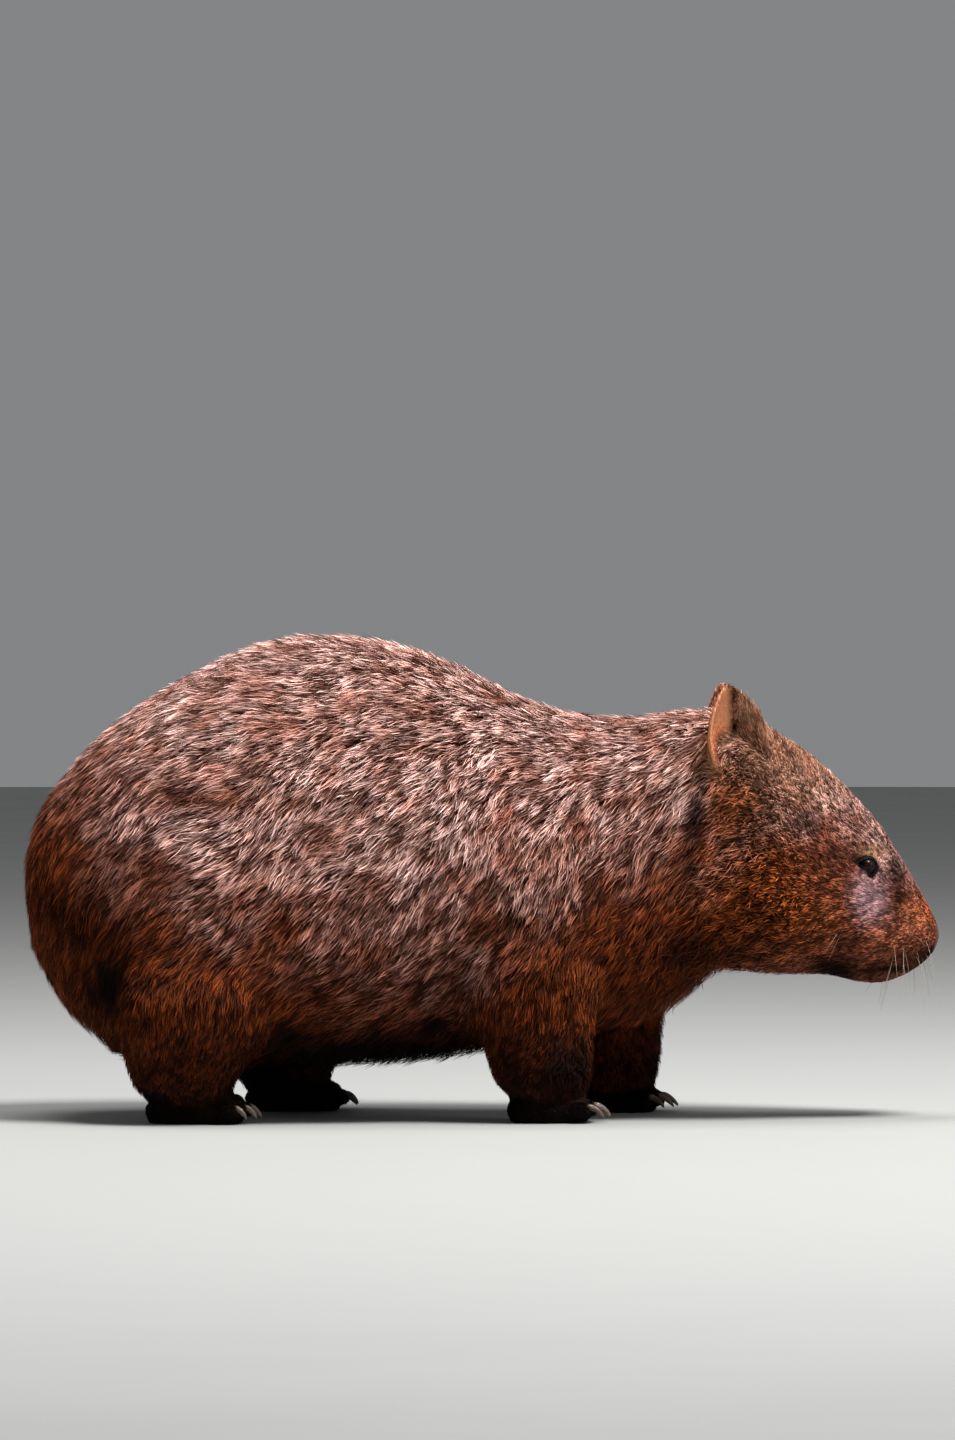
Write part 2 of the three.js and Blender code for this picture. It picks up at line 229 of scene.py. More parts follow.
def shade_smooth(mesh):
    mesh.polygons.foreach_set("use_smooth", np.ones(len(mesh.polygons), bool))


def mesh_from(form, name):
    """A mesh made from a bmesh, which is freed."""
    mesh = bpy.data.meshes.new(name)
    form.to_mesh(mesh)
    form.free()
    return mesh


def new_object(name, mesh):
    piece = bpy.data.objects.new(name, mesh)
    bpy.context.scene.collection.objects.link(piece)
    return piece


def applied(piece):
    """The mesh that an object has after its modifiers, put in its place."""
    graph = bpy.context.evaluated_depsgraph_get()
    made = bpy.data.meshes.new_from_object(piece.evaluated_get(graph))
    old = piece.data
    piece.modifiers.clear()
    piece.data = made
    bpy.data.meshes.remove(old)
    return made


WELD = 0.01 * MM


def node_mesh(names, swell=0.0):
    """The welded faces of CAD nodes in one bmesh, each swollen so that neighbours run into each other."""
    joined = bmesh.new()
    for name in names:
        one = bmesh.new()
        one.from_mesh(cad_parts[name].data)
        bmesh.ops.remove_doubles(one, verts=one.verts, dist=WELD)
        one.normal_update()
        for vertex in one.verts:
            vertex.co += vertex.normal * swell
        mesh = mesh_from(one, "node")
        joined.from_mesh(mesh)
        bpy.data.meshes.remove(mesh)
    return joined


def near_nodes(places, names, reach):
    """Which places lie within reach of the surface of some CAD nodes."""
    joined = node_mesh(names)
    tree = BVHTree.FromBMesh(joined)
    joined.free()
    low = np.min([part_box(name)[0] for name in names], axis=0) - reach
    high = np.max([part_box(name)[1] for name in names], axis=0) + reach
    near = np.all((places > low) & (places < high), axis=1)
    for index in np.nonzero(near)[0]:
        near[index] = tree.find_nearest(places[index], reach)[0] is not None
    return near


# Skin
# The parts of the body that a point of the skin belongs to, each a share from 0 to 1. inner is the inside of
# an ear.
Labels = namedtuple("Labels", ("ears", "feet", "legs", "inner"))


def labels_of(mesh):
    return Labels(*(stored_on(mesh, name) for name in Labels._fields))


def eye_place(side):
    low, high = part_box(f"eye_{side}")
    return (np.array(low) + np.array(high)) / 2


# How far an eye's black rim reaches from the ball's middle, in mm, by the angle up from straight ahead, in
# degrees.
EYE_RIM = {
    "angle": (0, 45, 90, 130, 155, 168, 180, 200, 230, 262, 290, 318, 340),
    "reach": (9.8, 9.0, 8.8, 9.2, 11.4, 13.0, 10.6, 7.6, 6.0, 7.6, 11.4, 10.6, 10.0),
}
# The direction that the right eye looks in, ahead, out and up.
EYE_OUT = (0.38, 0.90, 0.16)


def eye_frame(side):
    """The middle of an eye, and its directions out of the head, ahead along the face and up."""
    ahead_part, out_part, up_part = EYE_OUT
    out = unit(np.array([ahead_part, SIDES[side] * out_part, up_part]))
    ahead = unit(np.array([1.0, 0, 0]) - out * out[0])
    up = np.cross(out, ahead) * -SIDES[side]
    return eye_place(side), out, ahead, up * np.sign(up[2])


def eye_shares(places, side):
    """Each place's height out of the eye's middle, its offset in the lids' plane and its share of the rim."""
    centre, out, ahead, up = eye_frame(side)
    offset = places - centre
    flat = np.stack([offset @ ahead, offset @ up], axis=1)
    angle = np.degrees(np.arctan2(flat[:, 1], flat[:, 0])) % 360
    rim = np.interp(angle, EYE_RIM["angle"], EYE_RIM["reach"], period=360) * MM
    return offset @ out, flat, np.linalg.norm(flat, axis=1) / rim


SWELL = 0.4 * MM
FINE_REACH = 1.5 * MM
COARSE_STEPS = 10


def rough_skin(sizes):
    """One closed skin round all the flesh, evened out and thinned behind the head."""
    skin = new_object("skin", mesh_from(node_mesh((*FLESH, "eye_right", "eye_left"), SWELL), "skin"))
    remesh = skin.modifiers.new("even", "REMESH")
    remesh.mode = "VOXEL"
    remesh.voxel_size = sizes.voxel
    mesh = applied(skin)
    places = points_of(mesh)
    edges = edges_of(mesh)
    fine = near_nodes(places, EARS, FINE_REACH) | near_nodes(places, FEET, FINE_REACH)
    places = eased(places, edges, 4, 0.5)
    places = eased(places, edges, 26, np.where(fine, 0.0, 0.6))
    set_points(mesh, places)
    coarse = skin.vertex_groups.new(name="coarse")
    weights = np.where(fine, 0.0, 1 - smooth_step(*HEAD_RANGE, places[:, 0]))
    for step in range(1, COARSE_STEPS + 1):
        chosen = np.nonzero(np.round(weights * COARSE_STEPS) == step)[0]
        coarse.add(chosen.tolist(), step / COARSE_STEPS, "REPLACE")
    thin = skin.modifiers.new("thin", "DECIMATE")
    thin.ratio = sizes.skin_share
    thin.vertex_group = "coarse"
    thin.vertex_group_factor = 1.0
    applied(skin)
    skin.vertex_groups.clear()
    return skin


def refine(mesh, chosen):
    """Cuts the edges round chosen points in two."""
    form = bmesh.new()
    form.from_mesh(mesh)
    form.verts.ensure_lookup_table()
    picked = chosen(np.array([vertex.co for vertex in form.verts]))
    edges = [edge for edge in form.edges if all(picked[vertex.index] for vertex in edge.verts)]
    bmesh.ops.subdivide_edges(form, edges=edges, cuts=1, use_grid_fill=True)
    bmesh.ops.triangulate(form, faces=[face for face in form.faces if len(face.verts) > 4])
    form.to_mesh(mesh)
    form.free()


def near_eyes(reach):
    centres = [eye_place(side) for side in SIDES]

    def near(places):
        return np.min([np.linalg.norm(places - centre, axis=1) for centre in centres], axis=0) < reach
    return near


def near_nose(reach):
    def near(places):
        return np.linalg.norm(places - np.array(NOSE_TIP), axis=1) < reach
    return near


def by_eye(places, reach):
    """For each eye, which places lie within reach of it, and the share of its rim that each place is at."""
    for side in SIDES:
        _, _, share = eye_shares(places, side)
        yield np.linalg.norm(places - eye_place(side), axis=1) < reach, share


# The coat's depth as a share of its depth on the trunk, by how far ahead the place is, in metres.
DEPTH_ALONG = {
    "ahead": (-0.413, -0.30, 0.0, 0.15, 0.215, 0.26, 0.30, 0.33, 0.36, 0.385, 0.402, 0.413),
    "depth": (0.85, 1.0, 1.0, 0.95, 0.80, 0.60, 0.42, 0.24, 0.14, 0.10, 0.06, 0.02),
}
# How far from a CAD node the outline still belongs to it.
NODE_REACH = {"legs": 4.5 * MM, "feet": 3.0 * MM, "ears": 1.6 * MM, "tail": 1.6 * MM}
# The heights that the depth and the length of the coat on the legs change at, in metres.
LEG_HEIGHTS = (0.02, 0.05, 0.10, 0.16)
TAIL_DEPTH = 4 * MM
EAR_DEPTH = 0.9 * MM
SOLE_HEIGHT = 2 * MM


def coat_depth_at(places, normals, sizes):
    """How deep the coat lies at places on the outline of the CAD solids, and which are ear, foot and leg."""
    height = places[:, 2]
    depth = np.interp(places[:, 0], DEPTH_ALONG["ahead"], DEPTH_ALONG["depth"]) * sizes.coat_depth
    legs = near_nodes(places, LEGS, NODE_REACH["legs"])
    feet = near_nodes(places, FEET, NODE_REACH["feet"])
    ears = near_nodes(places, EARS, NODE_REACH["ears"])
    tail = near_nodes(places, ("tail",), NODE_REACH["tail"])
    on_leg = np.interp(height, LEG_HEIGHTS, [3.5 * MM, 6 * MM, 9 * MM, sizes.coat_depth])
    depth[legs] = np.minimum(depth, on_leg)[legs]
    depth[tail] = TAIL_DEPTH
    depth[feet] = np.interp(height, [0.004, 0.03], [1.2 * MM, 3.2 * MM])[feet]
    depth[ears] = EAR_DEPTH
    soles = (normals[:, 2] < -0.8) & (height < SOLE_HEIGHT)
    depth[soles] = 0.0
    for near, share in by_eye(places, 30 * MM):
        by_lid = (0.8 + 1.6 * smooth_step(1.0, 2.2, share)) * MM
        depth = np.where(near, np.minimum(depth, by_lid), depth)
    return depth, ears, feet | soles, legs & ~feet


def carve(places, normals, where, size, push):
    """Moves the skin near a place by push, inwards where it is below 0. size is the carving's half extent."""
    share = np.exp(-np.sum(((places - where) / size) ** 2, axis=1))
    return places + normals * (share * push)[:, None]


# Sizes of the lids. Those without a unit are shares of the lids' own edge.
LID_SHARE = 0.74
LID_HEIGHT = 1.0 * MM
LID_REACH = 22 * MM
LID_BACK = -9 * MM
LID_EDGE = (0.88, 1.12)
LID_BLEND = (2.4, 1.15)
LOWEST_LID = 1.2 * MM
CREASE = {"at": 2.05, "width": 0.22, "depth": 0.9 * MM}
TUCKED = {"height": -3.0 * MM, "share": 0.8}


def shape_lids(places, side):
    """Draws the skin round the eyeball into two lids with a black rim, and tucks the rest in behind."""
    centre, out, ahead, up = eye_frame(side)
    height, flat, share = eye_shares(places, side)
    near = (np.linalg.norm(places - centre, axis=1) < LID_REACH) & (height > LID_BACK)
    share = share / LID_SHARE
    edge = near & (share > LID_EDGE[0]) & (share < LID_EDGE[1])
    flat = np.where(edge[:, None], flat / share[:, None], flat)
    share = np.where(edge, 1.001, share)
    spread = np.linalg.norm(flat, axis=1)
    ball = bpy.context.scene.wombat_sizes.eye_radius + LID_HEIGHT
    lid = np.maximum(np.sqrt(np.maximum(ball**2 - spread**2, 0)), LOWEST_LID)
    blend = smooth_step(*LID_BLEND, share)
    shown = height * (1 - blend) + lid * blend
    crease = np.exp(-(((share - CREASE["at"]) / CREASE["width"]) ** 2)) * smooth_step(0.0, 0.004, flat[:, 1])
    shown = shown - crease * CREASE["depth"]
    shown = np.where(share < 1, TUCKED["height"], shown)
    flat = np.where((share < 1)[:, None], flat * TUCKED["share"], flat)
    moved = centre + out * shown[:, None] + flat[:, :1] * ahead + flat[:, 1:] * up
    return np.where(near[:, None], moved, places)


# The middle line of the left nostril, from the front of the nose round to its side, in metres.
NOSTRIL = (
    (0.4105, 0.0070, 0.1590), (0.4090, 0.0095, 0.1605), (0.4060, 0.0120, 0.1598),
    (0.4020, 0.0150, 0.1570), (0.3975, 0.0180, 0.1545), (0.3930, 0.0205, 0.1530),
)
NOSTRIL_DEPTH = 5.5 * MM
NOSE_PAD = {"middle": (0.4110, 0, 0.1640), "size": (0.0150, 0.0205, 0.0165), "rise": 0.7 * MM}
# Each carving's half extent, and how far it pushes the skin out, or in where it is below 0.
NOSTRIL_WING = {"size": np.array([7, 6, 3]) * MM, "push": 1.1 * MM}
MOUTH_LINE = {"size": np.array([3.6, 9, 1.5]) * MM, "push": -0.95 * MM}
LIP_SPLIT = {"size": np.array([4, 1.1, 3]) * MM, "push": -0.75 * MM}


def both_sides(places):
    """Places moved to the left side, so that what is worked out there holds on both."""
    return places * [1, 0, 1] + np.abs(places) * [0, 1, 0]


def nostril_share(places, reach=2.6 * MM):
    """How near places are to a nostril's middle line: 1 on it, and falling off over reach."""
    mirrored = both_sides(places)
    nearest = np.full(len(places), 1.0)
    for start, end in zip(np.array(NOSTRIL[:-1]), np.array(NOSTRIL[1:])):
        share = np.clip((mirrored - start) @ (end - start) / np.sum((end - start) ** 2), 0, 1)
        away = mirrored - start - share[:, None] * (end - start)
        nearest = np.minimum(nearest, np.linalg.norm(away, axis=1))
    return np.exp(-((nearest / reach) ** 2))


def nose_share(places):
    """How bare the nose is at places: 1 on the pad and 0 where the fur starts."""
    offset = (places - np.array(NOSE_PAD["middle"])) / np.array(NOSE_PAD["size"])
    return 1 - smooth_step(0.85, 1.15, np.linalg.norm(offset, axis=1))


def shape_face(places, normals):
    """The nose pad, the nostrils and their wings, the mouth's line and the split of the upper lip."""
    push = NOSE_PAD["rise"] * nose_share(places) - NOSTRIL_DEPTH * nostril_share(places)
    places = places + normals * push[:, None]
    for sign in SIDES.values():
        places = carve(places, normals, np.array([0.401, sign * 0.013, 0.1615]), **NOSTRIL_WING)
        for step in np.linspace(0, 1, 17):
            where = np.array([0.394 - 0.052 * step, sign * (0.020 + 0.026 * step), 0.1335 + 0.007 * step])
            places = carve(places, normals, where, **MOUTH_LINE)
    for step in np.linspace(0, 1, 9):
        where = np.array([0.4085 - 0.013 * step, 0, 0.152 - 0.020 * step])
        places = carve(places, normals, where, **LIP_SPLIT)
    return places


def ear_opening(places):
    """The direction that the ear on a place's side of the head opens in."""
    side = np.sign(places[:, 1:2])
    return unit(np.array([0.42, 0, 0.1]) + side * np.array([0, 0.9, 0]))


# Ahead of this place, in metres, an ear's outer face no longer counts as its inside.
EAR_INSIDE_END = 0.222


def make_skin(sizes):
    """The finished skin, with the depth of its coat and its labels stored on it."""
    skin = rough_skin(sizes)
    mesh = skin.data
    for chosen in (near_nose(34 * MM), near_eyes(19 * MM), near_nose(24 * MM), near_eyes(15 * MM)):
        refine(mesh, chosen)
    places = points_of(mesh)
    edges = edges_of(mesh)
    first_normals = unit(eased(normals_of(mesh), edges, 1))
    normals = unit(eased(normals_of(mesh), edges, 3))
    depth, ears, flats, legs = coat_depth_at(places, normals, sizes)
    depth = eased(depth, edges, 12, np.where(flats, 0.1, 0.6))
    places = places - normals * depth[:, None]
    places[:, 2] = np.maximum(places[:, 2], 0.0)
    places = np.where(flats[:, None] & (places[:, 2:] < 0.9 * MM), places * [1, 1, 0], places)
    set_points(mesh, places)
    places = eased(places, edges, 3, np.where(flats | ears, 0.0, 0.5))
    set_points(mesh, places)
    places = shape_face(places, normals_of(mesh))
    for side in SIDES:
        places = shape_lids(places, side)
    set_points(mesh, places)
    faces_out = first_normals[:, 1] * np.sign(places[:, 1]) > 0.05
    inner = np.sum(first_normals * ear_opening(places), axis=1) > 0.12
    inner = ears & (inner | (faces_out & (places[:, 0] < EAR_INSIDE_END)))
    store(mesh, "depth", depth)
    for name, values, rounds in zip(Labels._fields, (ears, flats, legs, inner), (3, 8, 8, 3)):
        store(mesh, name, eased(values.astype(float), edges, rounds))
    return skin


# Markings, some of them painted light and painted shade. Each is a share from 0 to 1 at a place, and the skin
# and the coat both carry them.
MARKS = (
    ("pale", "rust", "dark"), ("orange", "mauve", "tan"), ("muzzle", "bare", "black"), ("ear", "lip", "slot"),
)
# Patches of the coat, on the right and the left alike: middle and size in metres, and how sharp the edge is.
PATCHES = {
    # The next two patches are painted highlights, on the shoulder and on the flank.
    "shoulder_highlight": ((0.060, 0.10, 0.345), (0.07, 0.12, 0.045), 1.0),
    "flank_highlight": ((-0.040, 0.12, 0.265), (0.085, 0.12, 0.045), 1.0),
    "shade_under_ear": ((0.230, 0.075, 0.295), (0.034, 0.05, 0.044), 1.5),
    "face_stripe": ((0.3715, 0.034, 0.212), (0.0080, 0.03, 0.030), 1.3),
    "orange_cheek": ((0.240, 0.09, 0.215), (0.050, 0.08, 0.065), 1.5),
    "orange_ear_foot": ((0.228, 0.07, 0.285), (0.028, 0.05, 0.020), 1.0),
    "orange_jaw": ((0.29, 0.06, 0.180), (0.040, 0.05, 0.036), 1.3),
    "under_eye": ((0.3470, 0.05, 0.2015), (0.0165, 0.04, 0.0235), 1.5),
    "brow": ((0.3485, 0.045, 0.2395), (0.014, 0.03, 0.0065), 1.5),
    "crown": ((0.275, 0.03, 0.322), (0.060, 0.07, 0.040), 1.0),
    "muzzle_side": ((0.3890, 0.022, 0.182), (0.018, 0.024, 0.013), 1.3),
    "muzzle_top": ((0.394, 0.0, 0.205), (0.012, 0.016, 0.030), 1.3),
    "whisker_pad": ((0.365, 0.035, 0.158), (0.018, 0.03, 0.014), 1.0),
    # Painted shade along the line of the mouth.
    "mouth": ((0.372, 0.033, 0.1345), (0.024, 0.026, 0.0030), 2.0),
    "front_lip": ((0.399, 0.012, 0.148), (0.017, 0.026, 0.0125), 1.6),
    "side_lip": ((0.375, 0.028, 0.144), (0.024, 0.028, 0.012), 1.5),
    "short_ear_root": ((0.228, 0.085, 0.312), (0.020, 0.030, 0.024), 1.5),
    "short_tail": ((-0.40, 0, 0.16), (0.03, 0.02, 0.03), 1.0),
    "long_throat": ((0.215, 0.03, 0.138), (0.065, 0.07, 0.030), 1.0),
    "full_cheek": ((0.245, 0.09, 0.215), (0.055, 0.08, 0.075), 1.5),
    "full_throat": ((0.22, 0.04, 0.145), (0.070, 0.08, 0.025), 1.0),
    "full_chest": ((0.180, 0.06, 0.120), (0.040, 0.09, 0.050), 1.0),
    "full_crown": ((0.27, 0.03, 0.325), (0.060, 0.06, 0.040), 1.0),
}
# Painted shade in the creases and hollows of the coat: middle and size in metres, and how dark each is.
SHADOWS = {
    "behind_thigh": ((-0.328, 0.09, 0.125), (0.024, 0.14, 0.036), 1.0),
    "over_thigh": ((-0.352, 0.07, 0.180), (0.030, 0.12, 0.035), 0.45),
    "jaw_corner": ((0.318, 0.03, 0.133), (0.027, 0.06, 0.021), 1.0),
    "chin": ((0.350, 0.03, 0.132), (0.026, 0.05, 0.010), 0.7),
    "behind_ear": ((0.194, 0.10, 0.272), (0.010, 0.07, 0.036), 0.95),
    "behind_cheek": ((0.184, 0.10, 0.226), (0.009, 0.07, 0.020), 0.7),
    "shade_under_ear": ((0.236, 0.08, 0.264), (0.026, 0.06, 0.030), 0.35),
    "neck_fold": ((0.178, 0.10, 0.155), (0.022, 0.06, 0.016), 0.9),
    "throat_fold": ((0.225, 0.07, 0.150), (0.030, 0.05, 0.009), 0.7),
    "temple": ((0.292, 0.07, 0.262), (0.022, 0.04, 0.010), 0.5),
    "before_ear": ((0.250, 0.05, 0.288), (0.018, 0.03, 0.008), 0.4),
    "belly_line": ((-0.05, 0.10, 0.075), (0.10, 0.10, 0.018), 0.8),
    "low_cheek": ((0.330, 0.06, 0.158), (0.014, 0.05, 0.012), 0.6),
    "behind_eye": ((0.312, 0.07, 0.236), (0.018, 0.05, 0.012), 0.45),
}
SHADOW_EDGE = 1.4
# Where the coat parts and shows its dark depth: middle and size in metres.
PARTINGS = (
    ((-0.136, 0.14, 0.258), (0.024, 0.1, 0.009)), ((-0.105, 0.14, 0.272), (0.016, 0.1, 0.006)),
    ((-0.280, 0.12, 0.231), (0.022, 0.1, 0.011)), ((-0.245, 0.12, 0.292), (0.020, 0.1, 0.006)),
    ((0.125, 0.12, 0.191), (0.016, 0.1, 0.012)), ((-0.350, 0.10, 0.305), (0.012, 0.1, 0.022)),
    ((-0.060, 0.14, 0.330), (0.022, 0.1, 0.006)), ((0.020, 0.14, 0.270), (0.022, 0.1, 0.006)),
    ((-0.200, 0.12, 0.385), (0.026, 0.1, 0.008)), ((0.090, 0.12, 0.262), (0.020, 0.1, 0.006)),
)
PARTING_SWAY = 0.03
# The height above which the hair has pale tips, by how far ahead on the body it is, in metres.
PALE_LINE = {
    "ahead": (-0.41, -0.37, -0.32, -0.26, -0.14, 0.0, 0.05, 0.10, 0.15, 0.19, 0.24, 0.28, 0.32, 0.35, 0.38),
    "height": (0.40, 0.34, 0.275, 0.235, 0.185, 0.190, 0.238, 0.262, 0.272, 0.270, 0.285, 0.265, 0.248,
               0.232, 0.212),
}
# The height below which the flank and the belly are darkened with painted shade.
BELLY_SHADE_LINE = {
    "ahead": (-0.30, -0.22, -0.12, 0.02, 0.06, 0.12),
    "height": (0.06, 0.075, 0.095, 0.118, 0.085, 0.06),
}
# The size in metres and the seed of the wide, the middling and the fine unevenness of the markings.
UNEVENNESS = ((0.060, 11), (0.022, 12), (0.009, 13))
EYE_NEAR = 20 * MM


def blob(places, middle, size, power=1.0):
    """A soft patch: 1 in the middle, falling off over size, on both sides of the body."""
    offset = (both_sides(places) - np.array(middle)) / np.array(size)
    return np.exp(-(np.sum(offset**2, axis=1) ** power))


def on_patch(places, name):
    return blob(places, *PATCHES[name])


def partings(places):
    """How far into a parting of the coat each place lies."""
    bent = places.copy()
    bent[:, 2] += PARTING_SWAY * (noise(places, 0.03, 14) - 0.5)
    return np.maximum.reduce([blob(bent, middle, size) for middle, size in PARTINGS])


def pale_and_rust(places, labels, head, height, mid, fine):
    """The pale tips above their line along the body, and the rust below it: the coat's own colours, made
    paler on top with painted highlights and darker low down with painted shade.
    """
    x, z = places[:, 0], places[:, 2]
    above = height - np.interp(x, PALE_LINE["ahead"], PALE_LINE["height"])
    soft = 0.095 - 0.060 * head + 0.06 * smooth_step(-0.24, -0.34, x)
    pale = smooth_step(-soft, soft, above) * (0.84 + 1.35 * mid + 0.8 * fine)
    # Painted highlights: paler on the shoulder, the flank and the top of the back.
    pale = pale + 0.28 * on_patch(places, "shoulder_highlight") + 0.32 * smooth_step(0.37, 0.43, z)
    pale = pale + 0.30 * on_patch(places, "flank_highlight")
    pale = np.clip(pale, 0, 1) * (1 - 0.8 * partings(places)) * (1 - 0.12 * head)
    # Painted shade under the ear: no pale tips there.
    pale = pale * (1 - on_patch(places, "shade_under_ear")) * (1 - 0.7 * labels.ears)
    rust = smooth_step(0.6 * soft, -0.6 * soft, above) * (1 - head) + 0.3 * head
    return pale, rust


def dark_fur_and_painted_shade(places, labels, head, height):
    """How dark the coat is: painted shade under the body, low on the legs and in its creases, and the darker
    feet.
    """
    below = np.interp(places[:, 0], BELLY_SHADE_LINE["ahead"], BELLY_SHADE_LINE["height"]) - height
    # Painted shade under the body, towards the ground, in the creases and low on the legs; the feet are
    # darker.
    dark = smooth_step(-0.026, 0.022, below) * (1 - head) * (1 - 0.85 * labels.legs)
    dark = np.maximum(dark, smooth_step(0.105, 0.02, height) * (1 - head))
    for middle, size, share in SHADOWS.values():
        dark = np.maximum(dark, blob(places, middle, size, SHADOW_EDGE) * share)
    dark = np.maximum(dark, 0.5 * smooth_step(0.3, 1.0, labels.feet))
    dark = np.maximum(dark, 0.55 * labels.legs * smooth_step(0.12, 0.02, places[:, 2]))
    dark = np.maximum(dark, 0.75 * on_patch(places, "face_stripe"))
    return np.clip(dark, 0, 1) * (1 - labels.ears)


def ear_marks(places, labels, fine):
    """The tan front of an ear, the bare back wall inside it, and painted shade in the opening between them.
    """
    x, z = places[:, 0], places[:, 2]
    ahead_of_wall = x - (0.2235 + 0.05 * (0.33 - z))
    front = labels.ears * smooth_step(0.004, 0.012, ahead_of_wall) * (0.80 + 1.3 * fine)
    back = 0.95 * labels.inner * smooth_step(0.004, -0.004, ahead_of_wall)
    # Painted shade deep in the ear's opening.
    slot = np.exp(-(((ahead_of_wall - 0.004) / 0.0035) ** 2))
    slot = 1.2 * labels.inner * slot * smooth_step(0.31, 0.32, z) * smooth_step(0.362, 0.350, z)
    return front, back, slot


def blackness(places):
    """The black rims of the eyes, and painted shade in the nostrils and along the line of the mouth."""
    nostrils = smooth_step(0.25, 0.55, nostril_share(places, 3.2 * MM))
    black = np.maximum(nostrils, 0.8 * on_patch(places, "mouth"))
    for close, share in by_eye(places, EYE_NEAR):
        black = np.where(close, np.maximum(black, smooth_step(1.18, 1.0, share)), black)
    return black


def marks_at(places, labels):
    """The share of every marking at each place, by its name in MARKS."""

    def near(name):
        return on_patch(places, name)

    wide, mid, fine = (noise(places, size, seed) - 0.5 for size, seed in UNEVENNESS)
    head = smooth_step(*HEAD_RANGE, places[:, 0])
    height = places[:, 2] + (0.07 * wide + 0.035 * mid) * (1 - 0.6 * head)
    orange = near("orange_cheek") + near("orange_ear_foot") + 0.55 * near("orange_jaw")
    pale, rust = pale_and_rust(places, labels, head, height, mid, fine)
    ear_front, ear_back, slot = ear_marks(places, labels, fine)
    marks = {
        "pale": pale,
        "rust": rust,
        "dark": dark_fur_and_painted_shade(places, labels, head, height),
        "orange": orange + 0.8 * labels.ears,
        "mauve": near("under_eye") * (0.9 + 0.5 * fine),
        "tan": np.maximum.reduce([0.9 * near("brow"), 0.62 * near("crown"), ear_front]),
        "muzzle": near("muzzle_side") + 0.8 * near("muzzle_top") + 0.30 * near("whisker_pad"),
        "bare": nose_share(places),
        "black": blackness(places),
        "ear": ear_back,
        "lip": 0.95 * near("front_lip") + 0.75 * near("side_lip"),
        "slot": slot,
    }
    return {name: np.clip(share, 0, 1) for name, share in marks.items()}


def put_marks(mesh, marks, along, hair, lock, roots):
    """Stores the markings and the numbers that the materials read on a mesh's points."""
    vectors = {f"marks_{index}": np.stack([marks[name] for name in names], axis=1)
               for index, names in enumerate(MARKS)}
    for name, values in (*vectors.items(), ("root", roots)):
        made = mesh.attributes.new(name, "FLOAT_VECTOR", "POINT")
        made.data.foreach_set("vector", values.astype(np.float32).ravel())
    for name, values in (("along", along), ("hair", hair), ("lock", lock)):
        store(mesh, name, values)


# Materials
def put(tree, kind, inputs=(), **settings):
    """Adds a node. inputs is a dict of socket name or number to a value or to the socket that feeds it."""
    node = tree.nodes.new(f"ShaderNode{kind}")
    for key, value in settings.items():
        setattr(node, key, value)
    for key, value in dict(inputs).items():
        if isinstance(value, bpy.types.NodeSocket):
            tree.links.new(value, node.inputs[key])
        else:
            node.inputs[key].default_value = value
    return node


def tinted(value):
    return (*value, 1.0)


def blended(tree, factor, first, second, blend="MIX"):
    return put(tree, "Mix", {0: factor, 6: first, 7: second}, data_type="RGBA", blend_type=blend).outputs[2]


def ranged(tree, value, low, high, to_low=0.0, to_high=1.0):
    inputs = {"Value": value, "From Min": low, "From Max": high, "To Min": to_low, "To Max": to_high}
    return put(tree, "MapRange", inputs, interpolation_type="SMOOTHSTEP").outputs["Result"]


def product(tree, first, second):
    return put(tree, "Math", {0: first, 1: second}, operation="MULTIPLY").outputs[0]


def stored(tree, name, output="Fac"):
    return put(tree, "Attribute", attribute_name=name).outputs[output]


BRIGHT_HAIR = (2.6, 2.5, 2.6)
PATCHY = {"Scale": 70.0, "Detail": 3.0}
# How far the hairs of one lock share its tone.
LOCK_TONE = 0.55
# The markings that cover all below them, from the lowest up, and the colour of each.
COVERS = {"ear": "ear", "slot": "dark", "dark": "dark", "lip": "lip", "bare": "bare", "black": "black"}


